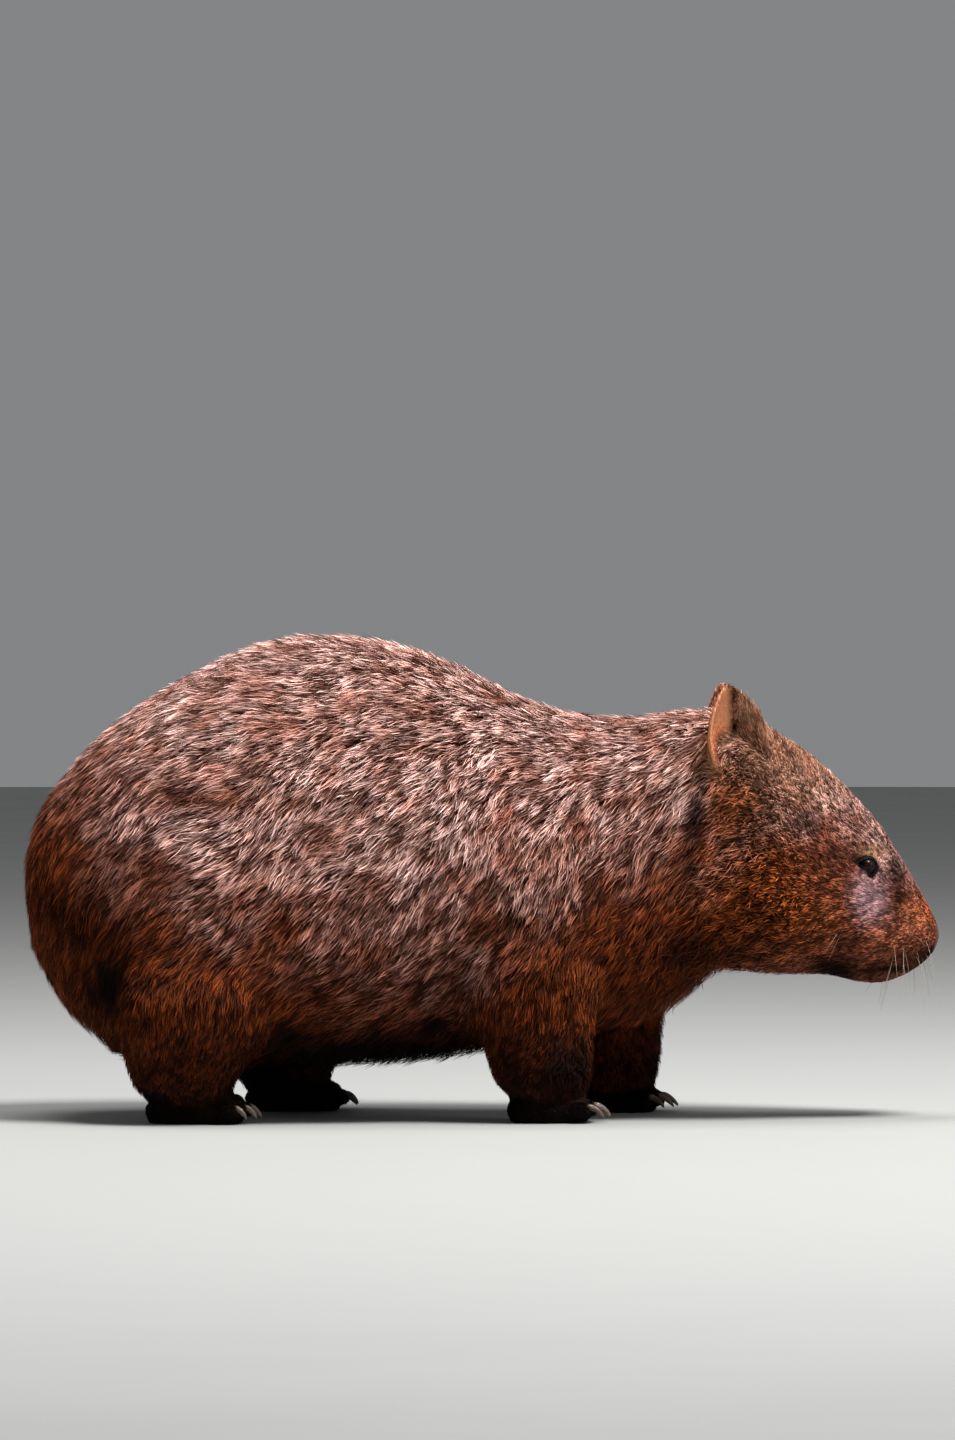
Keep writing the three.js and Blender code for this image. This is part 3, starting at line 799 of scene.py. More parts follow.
def coat_colours(colours):
    """The node group that turns the markings, and the place along a hair, into a colour."""
    if "coat_colours" in bpy.data.node_groups:
        return bpy.data.node_groups["coat_colours"]
    tree = bpy.data.node_groups.new("coat_colours", "ShaderNodeTree")
    tree.interface.new_socket("Colour", in_out="OUTPUT", socket_type="NodeSocketColor")
    tree.interface.new_socket("Bare", in_out="OUTPUT", socket_type="NodeSocketFloat")
    mark = {}
    for index, names in enumerate(MARKS):
        parts = put(tree, "SeparateXYZ", {0: stored(tree, f"marks_{index}", "Vector")})
        mark.update(zip(names, parts.outputs))
    along, hair, lock = stored(tree, "along"), stored(tree, "hair"), stored(tree, "lock")
    paint = {name: tinted(getattr(colours, name)) for name in COLOURS}
    shaft = paint["brown"]
    for name in ("rust", "orange", "muzzle"):
        shaft = blended(tree, mark[name], shaft, paint[name])
    tone = put(tree, "Mix", {0: LOCK_TONE, 2: hair, 3: lock}, data_type="FLOAT").outputs[0]
    pale_hair = product(tree, mark["pale"], ranged(tree, tone, 0.26, 0.70))
    bright = blended(tree, 1.0, shaft, tinted(BRIGHT_HAIR), "MULTIPLY")
    tips = blended(tree, ranged(tree, tone, 0.40, 0.80), shaft, bright)
    tips = blended(tree, pale_hair, tips, paint["pale"])
    for name in ("mauve", "tan"):
        tips = blended(tree, mark[name], tips, paint[name])
    colour = blended(tree, ranged(tree, along, 0.10, 0.60), paint["base"], shaft)
    colour = blended(tree, ranged(tree, along, 0.35, 0.90), colour, tips)
    for name, share in (("mauve", 0.55), ("tan", 0.6)):
        colour = blended(tree, product(tree, mark[name], share), colour, paint[name])
    patch = put(tree, "TexNoise", {"Vector": stored(tree, "root", "Vector"), **PATCHY}).outputs[0]
    for shade in (ranged(tree, patch, 0.35, 0.65, 0.72, 1.25), ranged(tree, tone, 0.2, 0.8, 0.38, 1.65)):
        colour = blended(tree, 1.0, colour, shade, "MULTIPLY")
    for name, cover in COVERS.items():
        colour = blended(tree, mark[name], colour, paint[cover])
    end = tree.nodes.new("NodeGroupOutput")
    tree.links.new(colour, end.inputs["Colour"])
    tree.links.new(mark["bare"], end.inputs["Bare"])
    return tree


def material(name, build):
    """A node material. build is given the tree and returns the socket values of the Principled shader."""
    name = f"wombat_{name}"
    made = bpy.data.materials.get(name)
    if made is None:
        made = bpy.data.materials.new(name)
        made.use_nodes = True
        tree = made.node_tree
        tree.nodes.clear()
        shader = put(tree, "BsdfPrincipled", build(tree))
        put(tree, "OutputMaterial", {"Surface": shader.outputs[0]})
    return made


def skin_material(colours):
    def build(tree):
        group = put(tree, "Group", node_tree=coat_colours(colours))
        place = stored(tree, "root", "Vector")
        grain = put(tree, "TexVoronoi", {"Vector": place, "Scale": 900.0})
        pores = put(tree, "TexNoise", {"Vector": place, "Scale": 1400.0, "Detail": 4.0})
        relief = put(tree, "Math", {0: grain.outputs[0], 1: pores.outputs[0]}, operation="ADD").outputs[0]
        bump = put(tree, "Bump", {"Height": relief, "Strength": 0.8, "Distance": 0.6 * MM}).outputs[0]
        rough = ranged(tree, group.outputs["Bare"], 0.0, 1.0, 0.75, 0.46)
        return {"Base Color": group.outputs["Colour"], "Roughness": rough, "Normal": bump,
                "Specular IOR Level": 0.22}
    return material("skin", build)


def coat_material(colours):
    def build(tree):
        group = put(tree, "Group", node_tree=coat_colours(colours))
        root = stored(tree, "root", "Vector")
        stripe = put(tree, "TexNoise", {"Vector": root, "Scale": 1500.0, "Detail": 1.0}).outputs[0]
        rough = ranged(tree, stripe, 0.3, 0.7, 0.55, 0.75)
        return {"Base Color": group.outputs["Colour"], "Roughness": rough, "Specular IOR Level": 0.06}
    return material("coat", build)


def eye_material(colours):
    def build(tree):
        place = put(tree, "NewGeometry").outputs["Position"]
        streaks = put(tree, "TexNoise", {"Vector": place, "Scale": 700.0, "Detail": 2.0}).outputs[0]
        light, dark = tinted(colours.iris), tinted(colours.iris_dark)
        iris = blended(tree, ranged(tree, streaks, 0.35, 0.7), dark, light)
        shown = ranged(tree, stored(tree, "iris"), 0.0, 1.0)
        colour = blended(tree, shown, tinted(colours.pupil), iris)
        return {"Base Color": colour, "Roughness": 0.15, "Specular IOR Level": 0.05,
                "Coat Weight": 0.35, "Coat IOR": 1.3, "Coat Roughness": 0.03}
    return material("eye", build)


def claw_material(colours):
    def build(tree):
        place = put(tree, "NewGeometry").outputs["Position"]
        stretch = put(tree, "Mapping", {"Vector": place, "Scale": (0.3, 1.0, 1.0)}).outputs[0]
        grain = put(tree, "TexNoise", {"Vector": stretch, "Scale": 900.0, "Detail": 4.0}).outputs[0]
        dirt = put(tree, "TexNoise", {"Vector": place, "Scale": 120.0, "Detail": 3.0}).outputs[0]
        horn, pale_horn = tinted(colours.horn), tinted(colours.horn_pale)
        colour = blended(tree, ranged(tree, grain, 0.3, 0.7), horn, pale_horn)
        colour = blended(tree, ranged(tree, dirt, 0.45, 0.7, 0.0, 0.8), colour, tinted(colours.soil))
        bump = put(tree, "Bump", {"Height": grain, "Strength": 0.3, "Distance": 0.3 * MM}).outputs[0]
        return {"Base Color": colour, "Roughness": ranged(tree, dirt, 0.3, 0.7, 0.32, 0.6), "Normal": bump}
    return material("claw", build)


def whisker_material(colours):
    def build(tree):
        along = stored(tree, "along")
        root, tip = tinted(colours.whisker_root), tinted(colours.whisker)
        colour = blended(tree, ranged(tree, along, 0.0, 0.5), root, tip)
        return {"Base Color": colour, "Roughness": ranged(tree, along, 0.0, 1.0, 0.32, 0.42)}
    return material("whisker", build)


def floor_material(colours):
    def build(tree):
        place = put(tree, "NewGeometry").outputs["Position"]
        cloud = put(tree, "TexNoise", {"Vector": place, "Scale": 3.0, "Detail": 3.0}).outputs[0]
        pale = tinted(colours.floor)
        shade = tinted([value * 0.96 for value in colours.floor])
        rough = ranged(tree, cloud, 0.3, 0.7, 0.7, 0.8)
        return {"Base Color": blended(tree, cloud, pale, shade), "Roughness": rough}
    return material("floor", build)


# Coat
TRUNK_AREAS = ("rump", "loin", "flank", "shoulder", "neck")
LEG_AREAS = ("fore_leg", "hind_leg")
BODY_AREAS = TRUNK_AREAS + LEG_AREAS
HEAD_AREAS = ("cheek", "face", "ear")
AREAS = BODY_AREAS + HEAD_AREAS
# The place ahead, in metres, from which on each area lies, the foremost first. The rump is behind them all.
AREA_STARTS = {"face": 0.325, "cheek": 0.24, "neck": 0.165, "shoulder": 0.05, "flank": -0.08, "loin": -0.24}
LEG_TOP = 0.14
BETWEEN_LEGS = -0.05
# The most tufts in one piece, which keeps it under 200,000 triangles.
MOST_TUFTS = 66000


def area_of(places, labels):
    """The number in AREAS of the part of the coat that each place belongs to."""
    x, z = places[:, 0], places[:, 2]
    leg = (labels.feet > 0.5) | ((labels.legs > 0.5) & (z < LEG_TOP))
    tests = {"ear": labels.ears > 0.5, "fore_leg": leg & (x > BETWEEN_LEGS), "hind_leg": leg}
    tests.update({area: x > start for area, start in AREA_STARTS.items()})
    return np.select(list(tests.values()), [AREAS.index(area) for area in tests], AREAS.index("rump"))


# Lengths and widths of the tufts in mm, by how far ahead on the head they are in metres.
HEAD_TUFTS = {
    "ahead": (0.19, 0.24, 0.28, 0.32, 0.35, 0.38, 0.405, 0.413),
    "length": (24, 15, 11.5, 8.5, 6.5, 4.6, 3.0, 2.2),
    "width": (0.74, 0.68, 0.70, 0.60, 0.50, 0.42, 0.36, 0.33),
}
# Lengths of the tufts in mm on the legs at LEG_HEIGHTS, and on the feet from the ground up.
LEG_LENGTHS = (7, 11, 17, 24)
FOOT_LENGTHS = {"height": (0.0, 0.03), "length": (4.5, 7.5)}
FOOT_WIDTH = 0.75
EAR_TUFTS = {"length": 6.5, "back_wall": -3.5, "front_wall": 2.5, "width": 0.50}


def tuft_sizes(places, labels):
    """The length and width in metres of the tufts at places."""
    ears, feet, legs, inner = labels
    x, z = places[:, 0], places[:, 2]
    length = np.interp(x, HEAD_TUFTS["ahead"], HEAD_TUFTS["length"])
    width = np.interp(x, HEAD_TUFTS["ahead"], HEAD_TUFTS["width"])
    crown = smooth_step(0.22, 0.27, x) * smooth_step(0.24, 0.28, z)
    length = length * (1 - 0.25 * crown) * (1 - 0.6 * on_patch(places, "short_ear_root"))
    length = length * (1 - legs) + np.minimum(length, np.interp(z, LEG_HEIGHTS, LEG_LENGTHS)) * legs
    on_foot = np.interp(z, FOOT_LENGTHS["height"], FOOT_LENGTHS["length"])
    length = length * (1 - feet) + on_foot * feet
    width = width * (1 - feet) + FOOT_WIDTH * feet
    front = smooth_step(0.225, 0.235, x)
    inside = EAR_TUFTS["back_wall"] * (1 - front) + EAR_TUFTS["front_wall"] * front
    length = length * (1 - ears) + (EAR_TUFTS["length"] + inner * inside) * ears
    width = width * (1 - ears) + EAR_TUFTS["width"] * ears
    length = length * (1 - 0.5 * on_patch(places, "short_tail"))
    length = length * (1 + 0.8 * on_patch(places, "long_throat"))
    for close, share in by_eye(places, 26 * MM):
        length = np.where(close, length * (0.45 + 0.55 * smooth_step(1.0, 2.6, share)), length)
    return length * MM, width * MM


# How steeply the coat falls as it runs back along the body, by height in metres.
FALL = {"height": (0.05, 0.10, 0.20, 0.30, 0.39, 0.43), "slope": (0.8, 0.8, 0.9, 0.7, 0.35, 0.15)}
# The place ahead of the nose that the coat of the head runs away from.
HEAD_SOURCE = (0.430, 0, 0.175)


def lie_of_coat(places, normals, labels):
    """The direction that the tufts lie in, along the skin."""
    ears, feet, legs, _ = (label[:, None] for label in labels)
    x, y, z = places.T
    side, ones = np.sign(y), np.ones(len(x))
    slope = np.interp(z, FALL["height"], FALL["slope"]) + 1.3 * smooth_step(-0.24, -0.39, x)
    slope = slope + 0.5 * np.exp(-(((x - 0.10) / 0.06) ** 2)) * smooth_step(0.36, 0.26, z)
    body = np.stack([-ones, 0.12 * side, -slope], axis=1)
    from_nose = places - np.array(HEAD_SOURCE)
    from_nose[:, 2] -= 0.02 * smooth_step(0.36, 0.26, x)
    head = smooth_step(*HEAD_RANGE, x)[:, None]
    flow = unit(body) * (1 - head) + unit(from_nose) * head
    down = np.stack([-0.25 * ones, 0.1 * side, -ones], axis=1)
    toes = np.stack([ones, 0 * ones, -0.5 * ones], axis=1)
    up = np.stack([-0.1 * ones, 0.25 * side, ones], axis=1)
    low_leg = legs * smooth_step(0.17, 0.11, z)[:, None]
    for share, way in ((low_leg, down), (feet, toes), (ears, up)):
        flow = flow * (1 - share) + unit(way) * share
    flow = along_tangent(flow, normals)
    swirl = (noise(places, 0.060, 21) - 0.5) * 0.8 + (noise(places, 0.018, 22) - 0.5) * 0.6
    calm = 1 - 0.65 * smooth_step(0.28, 0.36, x)
    return turned(flow, normals, swirl * calm * (1 - 0.5 * labels.ears))


def stand_of_coat(places, labels):
    """How far the tufts stand off the body, from 0 where they lie to 1 where they stand out."""
    full = sum(on_patch(places, name) for name in ("full_cheek", "full_throat", "full_chest"))
    full = full + 0.8 * on_patch(places, "full_crown") + 0.5 * smooth_step(0.09, 0.05, places[:, 2])
    return (np.clip(full, 0, 1) - 0.8 * partings(places)) * (1 - labels.ears)


# How far along its colours the bare skin is, where the tufts show all of their root.
SKIN_ALONG = 0.20


def shown_root(places):
    """How far along its colours a tuft starts: short hair shows less of its dark root."""
    return 0.30 * smooth_step(0.22, 0.32, places[:, 0])


class SkinFacts:
    """The skin's triangles, and everything about its points that the coat grows from."""

    def __init__(self):
        mesh = bpy.data.objects["skin"].data
        mesh.calc_loop_triangles()
        corners = np.empty(len(mesh.loop_triangles) * 3, np.int32)
        mesh.loop_triangles.foreach_get("vertices", corners)
        self.triangles = corners.reshape(-1, 3)
        self.places = points_of(mesh)
        self.normals = unit(eased(normals_of(mesh), edges_of(mesh), 2))
        self.depth = stored_on(mesh, "depth")
        self.labels = labels_of(mesh)
        self.length, self.width = tuft_sizes(self.places, self.labels)
        self.flow = lie_of_coat(self.places, self.normals, self.labels)
        self.stand = stand_of_coat(self.places, self.labels)
        a, b, c = (self.places[self.triangles[:, corner]] for corner in range(3))
        self.middles = (a + b + c) / 3
        self.area = area_of(self.middles, Labels(*(self.at_middles(label) for label in self.labels)))
        self.share = np.linalg.norm(np.cross(b - a, c - a), axis=1) / 2 * self.at_middles(self.wanted())

    def at_middles(self, values):
        return values[self.triangles].mean(axis=1)

    def wanted(self):
        """How densely each point of the skin is covered, compared with the rest."""
        x, z = self.places[:, 0], self.places[:, 2]
        facing_up = self.normals[:, 2]
        hidden = smooth_step(-0.3, -0.8, facing_up) * smooth_step(0.13, 0.09, z) * smooth_step(0.36, 0.30, x)
        cover = 1.0 / (self.length * self.width) * (1 - 0.55 * hidden)
        sole = smooth_step(-0.75, -0.9, facing_up) * (z < 0.003)
        bare = np.maximum(nose_share(self.places), sole)
        for close, share in by_eye(self.places, EYE_NEAR):
            bare = np.where(close, np.maximum(bare, share < 1.06), bare)
        nostrils = smooth_step(0.4, 0.8, nostril_share(self.places, 3.6 * MM))
        return np.maximum(cover * (1 - np.maximum(bare, nostrils)), 0)


def unwrapped(skin, faces):
    """Each chosen triangle's corners on an unwrap of that part of the skin."""
    used, corners = np.unique(skin.triangles[faces], return_inverse=True)
    mesh = bpy.data.meshes.new("patch")
    mesh.from_pydata(skin.places[used].tolist(), [], corners.reshape(-1, 3).tolist())
    patch = new_object("patch", mesh)
    mesh.uv_layers.new(name="flat")
    for other in bpy.context.selected_objects:
        other.select_set(False)
    patch.select_set(True)
    bpy.context.view_layer.objects.active = patch
    bpy.ops.object.mode_set(mode="EDIT")
    bpy.ops.mesh.select_all(action="SELECT")
    bpy.ops.uv.smart_project(angle_limit=math.radians(70), island_margin=0.004)
    bpy.ops.object.mode_set(mode="OBJECT")
    flat = np.empty(len(mesh.loops) * 2)
    mesh.uv_layers["flat"].data.foreach_get("uv", flat)
    bpy.data.objects.remove(patch)
    bpy.data.meshes.remove(mesh)
    return flat.reshape(-1, 3, 2)


def led(places, count, pick):
    """The nearest of a few chosen places to each place."""
    leaders = pick.choice(len(places), size=max(count, 1), replace=False)
    tree = KDTree(len(leaders))
    for index, leader in enumerate(leaders):
        tree.insert(places[leader], index)
    tree.balance()
    nearest = np.fromiter((tree.find(place)[1] for place in places), np.int64, len(places))
    return leaders[nearest]


LOCK_HAIRS = 11
# A tuft's corners are two at its root, two half way up and its tip. Its faces are a quad and a triangle.
TUFT_CORNERS = 5
TUFT_ALONG = (0.0, 0.0, 0.5, 0.5, 1.0)
TUFT_FACES = np.array([0, 1, 3, 2, 2, 3, 4])
FACE_STARTS = np.array([0, 4])
BAKE_PATCH = np.array([[-1, -1], [1, -1], [-0.7, 0.2], [0.7, 0.2], [0, 1]]) * 0.0015
# The share of the tufts that are short undercoat, and how they differ from the rest.
UNDERCOAT = {"share": 0.35, "rise": 0.35, "length": 0.7, "grip": 0.6}
LEAST_DEPTH = 0.35 * MM
LEAST_HEIGHT = 0.3 * MM
FIRST_SEED = 100


def scattered(skin, faces, count, pick):
    """Places for count tufts on some triangles of the skin: each one's triangle, and its weights in it."""
    shares = np.cumsum(skin.share[faces])
    chosen = np.searchsorted(shares, (np.arange(count) + pick.random(count)) / count * shares[-1])
    chosen = np.minimum(chosen, len(faces) - 1)
    first, second = pick.random(count), pick.random(count)
    over = first + second > 1
    first[over], second[over] = 1 - first[over], 1 - second[over]
    return chosen, np.stack([1 - first - second, first, second], axis=1)


def shaped_tufts(skin, mean, count, pick):
    """The roots and tips of the tufts, the corners of each, and which tuft leads the lock of each."""
    roots = mean(skin.places)
    normals = unit(mean(skin.normals))
    flow = along_tangent(mean(skin.flow), normals)
    length = mean(skin.length) * (0.65 + 0.6 * pick.random(count))
    width = mean(skin.width) * (0.7 + 0.6 * pick.random(count))
    depth = np.maximum(mean(skin.depth), LEAST_DEPTH)
    under = pick.random(count) < UNDERCOAT["share"]
    rise = depth * np.where(under, UNDERCOAT["rise"], 0.75) * (0.6 + 0.7 * pick.random(count))
    rise = np.minimum(rise, 0.75 * length)
    length = np.where(under, length * UNDERCOAT["length"], length)
    stand = mean(skin.stand)
    rise = np.minimum(rise * (1 + 0.7 * stand), 0.85 * length)
    flow = turned(flow, normals, pick.normal(0, 1, count) * (0.14 + 0.45 * np.abs(stand)))
    run = np.sqrt(np.maximum(length**2 - rise**2, 0.1 * length**2))
    bow = pick.normal(0, 0.07, count) * length
    middles = roots + flow * (run * 0.46)[:, None] + normals * (rise * 0.78)[:, None]
    middles = middles + np.cross(normals, flow) * bow[:, None]
    tips = roots + flow * run[:, None] + normals * rise[:, None]
    leader = led(roots, count // LOCK_HAIRS, pick)
    grip = (0.25 + 0.40 * pick.random(count)) * np.where(under, UNDERCOAT["grip"], 1.0)
    spread = np.linalg.norm(roots - roots[leader], axis=1)
    grip = grip * (1 - 0.9 * mean(skin.labels.ears)) * np.exp(-((spread / (0.55 * length)) ** 2))
    tips = tips + (tips[leader] - tips) * grip[:, None]
    middles = middles + (middles[leader] - middles) * (grip * 0.35)[:, None]
    aim = unit(tips - roots)
    wide = turned(unit(np.cross(aim, normals)), aim, pick.normal(0, 0.55, count)) * (width / 2)[:, None]
    corners = [roots - wide, roots + wide, middles - wide * 0.85, middles + wide * 0.85, tips]
    points = np.stack(corners, axis=1).reshape(-1, 3)
    points[:, 2] = np.maximum(points[:, 2], LEAST_HEIGHT)
    return roots, tips, points, leader


def tuft_mesh(name, points, places):
    """A mesh of tufts from their corners, each laid out on the bake's map at its own place."""
    count = len(places)
    mesh = bpy.data.meshes.new(name)
    mesh.vertices.add(len(points))
    mesh.vertices.foreach_set("co", points.astype(np.float32).ravel())
    loops = (np.arange(count)[:, None] * TUFT_CORNERS + TUFT_FACES).astype(np.int32)
    mesh.loops.add(loops.size)
    mesh.loops.foreach_set("vertex_index", loops.ravel())
    starts = (np.arange(count)[:, None] * len(TUFT_FACES) + FACE_STARTS).astype(np.int32)
    mesh.polygons.add(starts.size)
    mesh.polygons.foreach_set("loop_start", starts.ravel())
    mesh.update(calc_edges=True)
    shade_smooth(mesh)
    patch = (places[:, None] + BAKE_PATCH)[:, TUFT_FACES]
    mesh.uv_layers.new(name="OFBake").data.foreach_set("uv", patch.astype(np.float32).ravel())
    return mesh


def grow(name, skin, faces, count, seed, colours):
    """One piece of coat: count tufts on the chosen triangles of the skin."""
    pick = np.random.default_rng(seed)
    chosen, weight = scattered(skin, faces, count, pick)
    corner = skin.triangles[faces[chosen]]

    def mean(values):
        if values.ndim == 1:
            return np.sum(values[corner] * weight, axis=1)
        return np.sum(values[corner] * weight[:, :, None], axis=1)

    def each(values):
        return np.repeat(values, TUFT_CORNERS, axis=0)

    roots, tips, points, leader = shaped_tufts(skin, mean, count, pick)
    flats = unwrapped(skin, faces)
    mesh = tuft_mesh(name, points, np.sum(flats[chosen] * weight[:, :, None], axis=1).clip(0.002, 0.998))
    marks = marks_at((roots + tips) / 2, Labels(*(mean(label) for label in skin.labels)))
    start = each(shown_root(roots))
    along = start + (1 - start) * np.tile(TUFT_ALONG, count)
    hair = each(pick.random(count))
    lock = each(pick.random(count)[leader])
    put_marks(mesh, {key: each(share) for key, share in marks.items()}, along, hair, lock, each(roots))
    mesh.materials.append(coat_material(colours))
    piece = new_object(name, mesh)
    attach(piece, "root")
    return piece


def grow_areas(areas, total):
    """Grows the right and left pieces of some areas. total is for all of BODY_AREAS, or all of HEAD_AREAS."""
    colours = bpy.context.scene.wombat_colours
    skin = SkinFacts()
    together = [AREAS.index(area) for area in (BODY_AREAS if areas[0] in BODY_AREAS else HEAD_AREAS)]
    whole = skin.share[np.isin(skin.area, together)].sum()
    for area in areas:
        number = AREAS.index(area)
        for side, sign in SIDES.items():
            name = f"coat_{area}_{side}"
            faces = np.nonzero((skin.area == number) & (skin.middles[:, 1] * sign > 0))[0]
            count = int(total * skin.share[faces].sum() / whole)
            if count > MOST_TUFTS:
                raise RuntimeError(f"{name} would have {count} tufts, over {MOST_TUFTS}")
            grow(name, skin, faces, count, FIRST_SEED + 2 * number + (sign > 0), colours)


# Eyes, claws and whiskers
CORNEA = {"from": 0.62, "to": 0.95, "rise": 0.055}


def make_eye(side, sizes, colours):
    """A ball with the clear front standing a little proud of it."""
    centre, out, ahead, _ = eye_frame(side)
    form = bmesh.new()
    bmesh.ops.create_uvsphere(form, u_segments=64, v_segments=40, radius=sizes.eye_radius)
    mesh = mesh_from(form, f"eyeball_{side}")
    places = points_of(mesh)
    front = smooth_step(CORNEA["from"], CORNEA["to"], places[:, 2] / sizes.eye_radius)
    places = places * (1 + CORNEA["rise"] * front)[:, None]
    turn = np.stack([ahead, np.cross(out, ahead), out])
    set_points(mesh, places @ turn + centre)
    store(mesh, "iris", front)
    shade_smooth(mesh)
    mesh.materials.append(eye_material(colours))
    piece = new_object(f"eyeball_{side}", mesh)
    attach(piece, "root")
    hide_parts(f"eye_{side}")
    return piece


def make_claws(kind, side, colours):
    """The claws of a fore or hind foot, rounded off from their CAD solids."""
    names = [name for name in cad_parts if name.startswith(f"{kind}_claw_{side}")]
    name = f"{kind}_claws_{side}"
    piece = new_object(name, mesh_from(node_mesh(names), name))
    rounder = piece.modifiers.new("round", "SUBSURF")
    rounder.levels = rounder.render_levels = 2
    mesh = applied(piece)
    shade_smooth(mesh)
    mesh.materials.clear()
    mesh.materials.append(claw_material(colours))
    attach(piece, "root")
    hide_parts(*names)
    return piece


# Where the whiskers leave the face, ahead and up in metres, and about how long they are in mm.
MUZZLE_WHISKERS = [
    (0.372 + 0.008 * column, 0.148 + 0.0065 * row, 44 - 3 * row) for row in range(3) for column in range(4)]
CHEEK_WHISKERS = [(0.330, 0.175, 34), (0.322, 0.170, 28)]
BROW_WHISKERS = [(0.360, 0.246, 24), (0.352, 0.249, 20)]
CHIN_WHISKERS = [(0.362, 0.136, 26)]
WHISKERS = MUZZLE_WHISKERS + CHEEK_WHISKERS + BROW_WHISKERS + CHIN_WHISKERS
BROW_HEIGHT = 0.23
MUZZLE_MIDDLE = 0.380
WHISKER_RINGS = 9
WHISKER_CORNERS = 5
WHISKER_RADIUS = 0.20 * MM
WHISKER_TIP = 0.04 * MM
WHISKER_SUNK = 0.8 * MM


def whisker_rings(root, normal, aim, bend, length):
    """The points of one whisker, ring after ring, and how far along it each is."""
    side_way = unit(np.cross(aim, [0.3, 0.1, 0.9]))
    up_way = unit(np.cross(aim, side_way))
    points, along = [], []
    for share in np.linspace(0, 1, WHISKER_RINGS):
        middle = root - normal * WHISKER_SUNK + (aim * share + bend * 0.5 * share**2) * length
        radius = WHISKER_RADIUS * (1 - share) ** 0.8 + WHISKER_TIP
        for angle in np.arange(WHISKER_CORNERS) * math.tau / WHISKER_CORNERS:
            points.append(middle + (side_way * math.cos(angle) + up_way * math.sin(angle)) * radius)
            along.append(share)
    return points, along


def whisker_faces(first):
    """The faces of a whisker whose points start at first: its sides, its tip and its root."""
    faces = []
    for ring in range(WHISKER_RINGS - 1):
        low = first + ring * WHISKER_CORNERS
        for corner in range(WHISKER_CORNERS):
            after = (corner + 1) % WHISKER_CORNERS
            high = low + WHISKER_CORNERS
            faces.append((low + corner, low + after, high + after, high + corner))
    last = first + (WHISKER_RINGS - 1) * WHISKER_CORNERS
    faces.append(tuple(range(last, last + WHISKER_CORNERS)))
    faces.append(tuple(reversed(range(first, first + WHISKER_CORNERS))))
    return faces


def make_whiskers(side, colours):
    """Stiff whiskers on the muzzle, the cheek, the brow and the chin, which taper to a point."""
    sign = SIDES[side]
    pick = np.random.default_rng(40 + (sign > 0))
    tree = BVHTree.FromObject(bpy.data.objects["skin"], bpy.context.evaluated_depsgraph_get())
    points, faces, along = [], [], []
    for x, z, length in WHISKERS:
        forward = (x - MUZZLE_MIDDLE) / 0.02
        x, z = x + pick.normal(0, 2.5 * MM), z + pick.normal(0, 2.5 * MM)
        root, normal, _, _ = tree.ray_cast(Vector((x, sign * 0.3, z)), Vector((0, -sign, 0)))
        if root is None:
            continue
        root, normal = np.array(root), np.array(normal)
        lean = np.array([0.35 * forward - 0.15, 0.25 * sign, -0.75])
        aim = unit(normal * 0.6 + lean + pick.normal(0, 0.30, 3))
        if z > BROW_HEIGHT:
            aim = unit(normal * 0.8 + np.array([-0.2, 0.1 * sign, 0.5]))
        bend = np.array([-0.35 * pick.random(), 0, -0.3 - 0.5 * pick.random()])
        length = length * MM * (0.6 + 0.7 * pick.random())
        faces += whisker_faces(len(points))
        ring_points, ring_along = whisker_rings(root, normal, aim, bend, length)
        points += ring_points
        along += ring_along
    mesh = bpy.data.meshes.new(f"whiskers_{side}")
    mesh.from_pydata([list(point) for point in points], [], faces)
    store(mesh, "along", along)
    shade_smooth(mesh)
    mesh.materials.append(whisker_material(colours))
    piece = new_object(f"whiskers_{side}", mesh)
    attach(piece, "root")
    return piece


# Stage
FLOOR_RADIUS = 14.0
FLOOR_DROP = 0.2 * MM
# Each lamp's place, what it points at, its width and its power in watts.
LAMPS = {
    "key": ((1.2, -1.1, 3.7), (0, 0, 0.2), 1.3, 290),
    "top": ((-0.4, 0.3, 3.8), (0, 0, 0.2), 2.0, 100),
    "front": ((3.2, -1.6, 1.8), (0.2, 0, 0.2), 1.5, 22),
}
SKY = {"Color": (0.95, 0.97, 1.0, 1), "Strength": 0.24}
CAMERA_PLACE = (-0.00315, -7.2, 0.45)
CAMERA_DIP = math.radians(0.74)
CAMERA_LENS = 200
CAMERA_SENSOR = 36


def make_light(name, place, aim, size, power):
    light = bpy.data.lights.new(name, "AREA")
    light.shape = "DISK"
    light.size = size
    light.energy = power
    lamp = new_object(name, light)
    lamp.location = place
    lamp.rotation_euler = (Vector(aim) - Vector(place)).to_track_quat("-Z", "Y").to_euler()
    return lamp


def make_stage(colours):
    """The floor, the lamps, the pale sky and the camera."""
    form = bmesh.new()
    bmesh.ops.create_circle(form, cap_ends=True, segments=96, radius=FLOOR_RADIUS)
    mesh = mesh_from(form, "floor")
    mesh.materials.append(floor_material(colours))
    floor = new_object("floor", mesh)
    floor.location.z = -FLOOR_DROP
    for name, facts in LAMPS.items():
        make_light(name, *facts)
    scene = bpy.context.scene
    scene.world = bpy.data.worlds.new("studio")
    scene.world.use_nodes = True
    for key, value in SKY.items():
        scene.world.node_tree.nodes["Background"].inputs[key].default_value = value
    scene.view_settings.view_transform = "Standard"
    camera = bpy.data.cameras.new("camera")
    camera.lens = CAMERA_LENS
    camera.sensor_width = CAMERA_SENSOR
    camera.clip_end = 60
    holder = new_object("camera", camera)
    holder.location = CAMERA_PLACE
    holder.rotation_euler = (math.radians(90) - CAMERA_DIP, 0, 0)
    scene.camera = holder


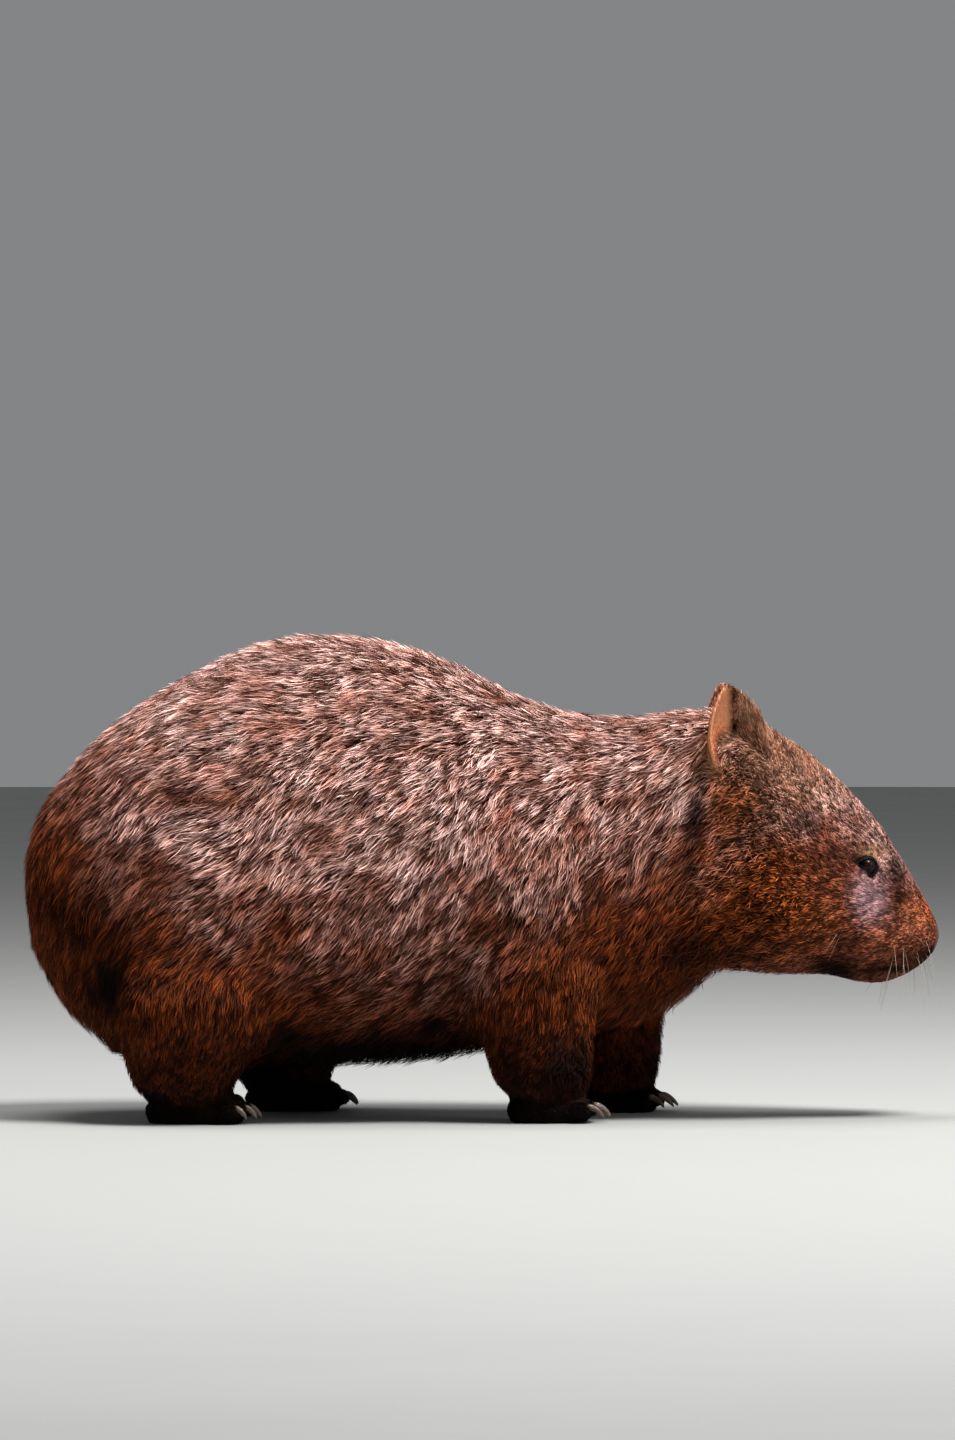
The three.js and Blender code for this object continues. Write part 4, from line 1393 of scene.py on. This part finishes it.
# Operators
class WOMBAT_OT_stage(bpy.types.Operator):
    """Makes the floor, the lights and the camera"""
    bl_idname = "wombat.stage"
    bl_label = "Stage"

    def execute(self, context):
        make_stage(context.scene.wombat_colours)
        return {"FINISHED"}


class WOMBAT_OT_skin(bpy.types.Operator):
    """Makes one skin over all the flesh, with lids, nostrils and lips"""
    bl_idname = "wombat.skin"
    bl_label = "Skin"

    def execute(self, context):
        scene = context.scene
        skin = make_skin(scene.wombat_sizes)
        mesh = skin.data
        places = points_of(mesh)
        along = SKIN_ALONG + shown_root(places)
        even = np.full(len(places), 0.5)
        put_marks(mesh, marks_at(places, labels_of(mesh)), along, even, even, places)
        shade_smooth(mesh)
        mesh.materials.clear()
        mesh.materials.append(skin_material(scene.wombat_colours))
        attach(skin, "root")
        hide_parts(*FLESH)
        return {"FINISHED"}


class WOMBAT_OT_eyes(bpy.types.Operator):
    """Makes the two eyeballs"""
    bl_idname = "wombat.eyes"
    bl_label = "Eyes"

    def execute(self, context):
        for side in SIDES:
            make_eye(side, context.scene.wombat_sizes, context.scene.wombat_colours)
        return {"FINISHED"}


class WOMBAT_OT_claws(bpy.types.Operator):
    """Makes the claws of the four feet"""
    bl_idname = "wombat.claws"
    bl_label = "Claws"

    def execute(self, context):
        for kind in ("fore", "hind"):
            for side in SIDES:
                make_claws(kind, side, context.scene.wombat_colours)
        return {"FINISHED"}


class WOMBAT_OT_coat_body(bpy.types.Operator):
    """Grows the coat of the trunk, the neck and the tail"""
    bl_idname = "wombat.coat_body"
    bl_label = "Coat of the body"

    def execute(self, context):
        grow_areas(TRUNK_AREAS, context.scene.wombat_sizes.body_tufts)
        return {"FINISHED"}


class WOMBAT_OT_coat_legs(bpy.types.Operator):
    """Grows the coat of the legs and the feet"""
    bl_idname = "wombat.coat_legs"
    bl_label = "Coat of the legs"

    def execute(self, context):
        grow_areas(LEG_AREAS, context.scene.wombat_sizes.body_tufts)
        return {"FINISHED"}


class WOMBAT_OT_coat_head(bpy.types.Operator):
    """Grows the short coat of the cheeks, the face and the ears"""
    bl_idname = "wombat.coat_head"
    bl_label = "Coat of the head"

    def execute(self, context):
        grow_areas(HEAD_AREAS, context.scene.wombat_sizes.face_tufts)
        return {"FINISHED"}


class WOMBAT_OT_whiskers(bpy.types.Operator):
    """Makes the whiskers of both sides"""
    bl_idname = "wombat.whiskers"
    bl_label = "Whiskers"

    def execute(self, context):
        for side in SIDES:
            make_whiskers(side, context.scene.wombat_colours)
        return {"FINISHED"}


STEPS = (WOMBAT_OT_stage, WOMBAT_OT_skin, WOMBAT_OT_eyes, WOMBAT_OT_claws, WOMBAT_OT_coat_body,
         WOMBAT_OT_coat_legs, WOMBAT_OT_coat_head, WOMBAT_OT_whiskers)


class WOMBAT_PT_panel(bpy.types.Panel):
    """The wombat's sizes and colours, and the steps that make it"""
    bl_idname = "WOMBAT_PT_panel"
    bl_label = "Wombat"
    bl_space_type = "VIEW_3D"
    bl_region_type = "UI"
    bl_category = "Wombat"

    def draw(self, context):
        for settings in (context.scene.wombat_sizes, context.scene.wombat_colours):
            box = self.layout.box()
            for key in type(settings).__annotations__:
                box.prop(settings, key)
        for step in STEPS:
            self.layout.operator(step.bl_idname)


CLASSES = (WombatSizes, WombatColours, *STEPS, WOMBAT_PT_panel)


def register():
    for one in CLASSES:
        bpy.utils.register_class(one)
    bpy.types.Scene.wombat_sizes = PointerProperty(type=WombatSizes)
    bpy.types.Scene.wombat_colours = PointerProperty(type=WombatColours)


def unregister():
    del bpy.types.Scene.wombat_sizes
    del bpy.types.Scene.wombat_colours
    for one in reversed(CLASSES):
        bpy.utils.unregister_class(one)


def main():
    register()
    for step in STEPS:
        group, name = step.bl_idname.split(".")
        getattr(getattr(bpy.ops, group), name)()


if __name__ == "__main__":
    main()
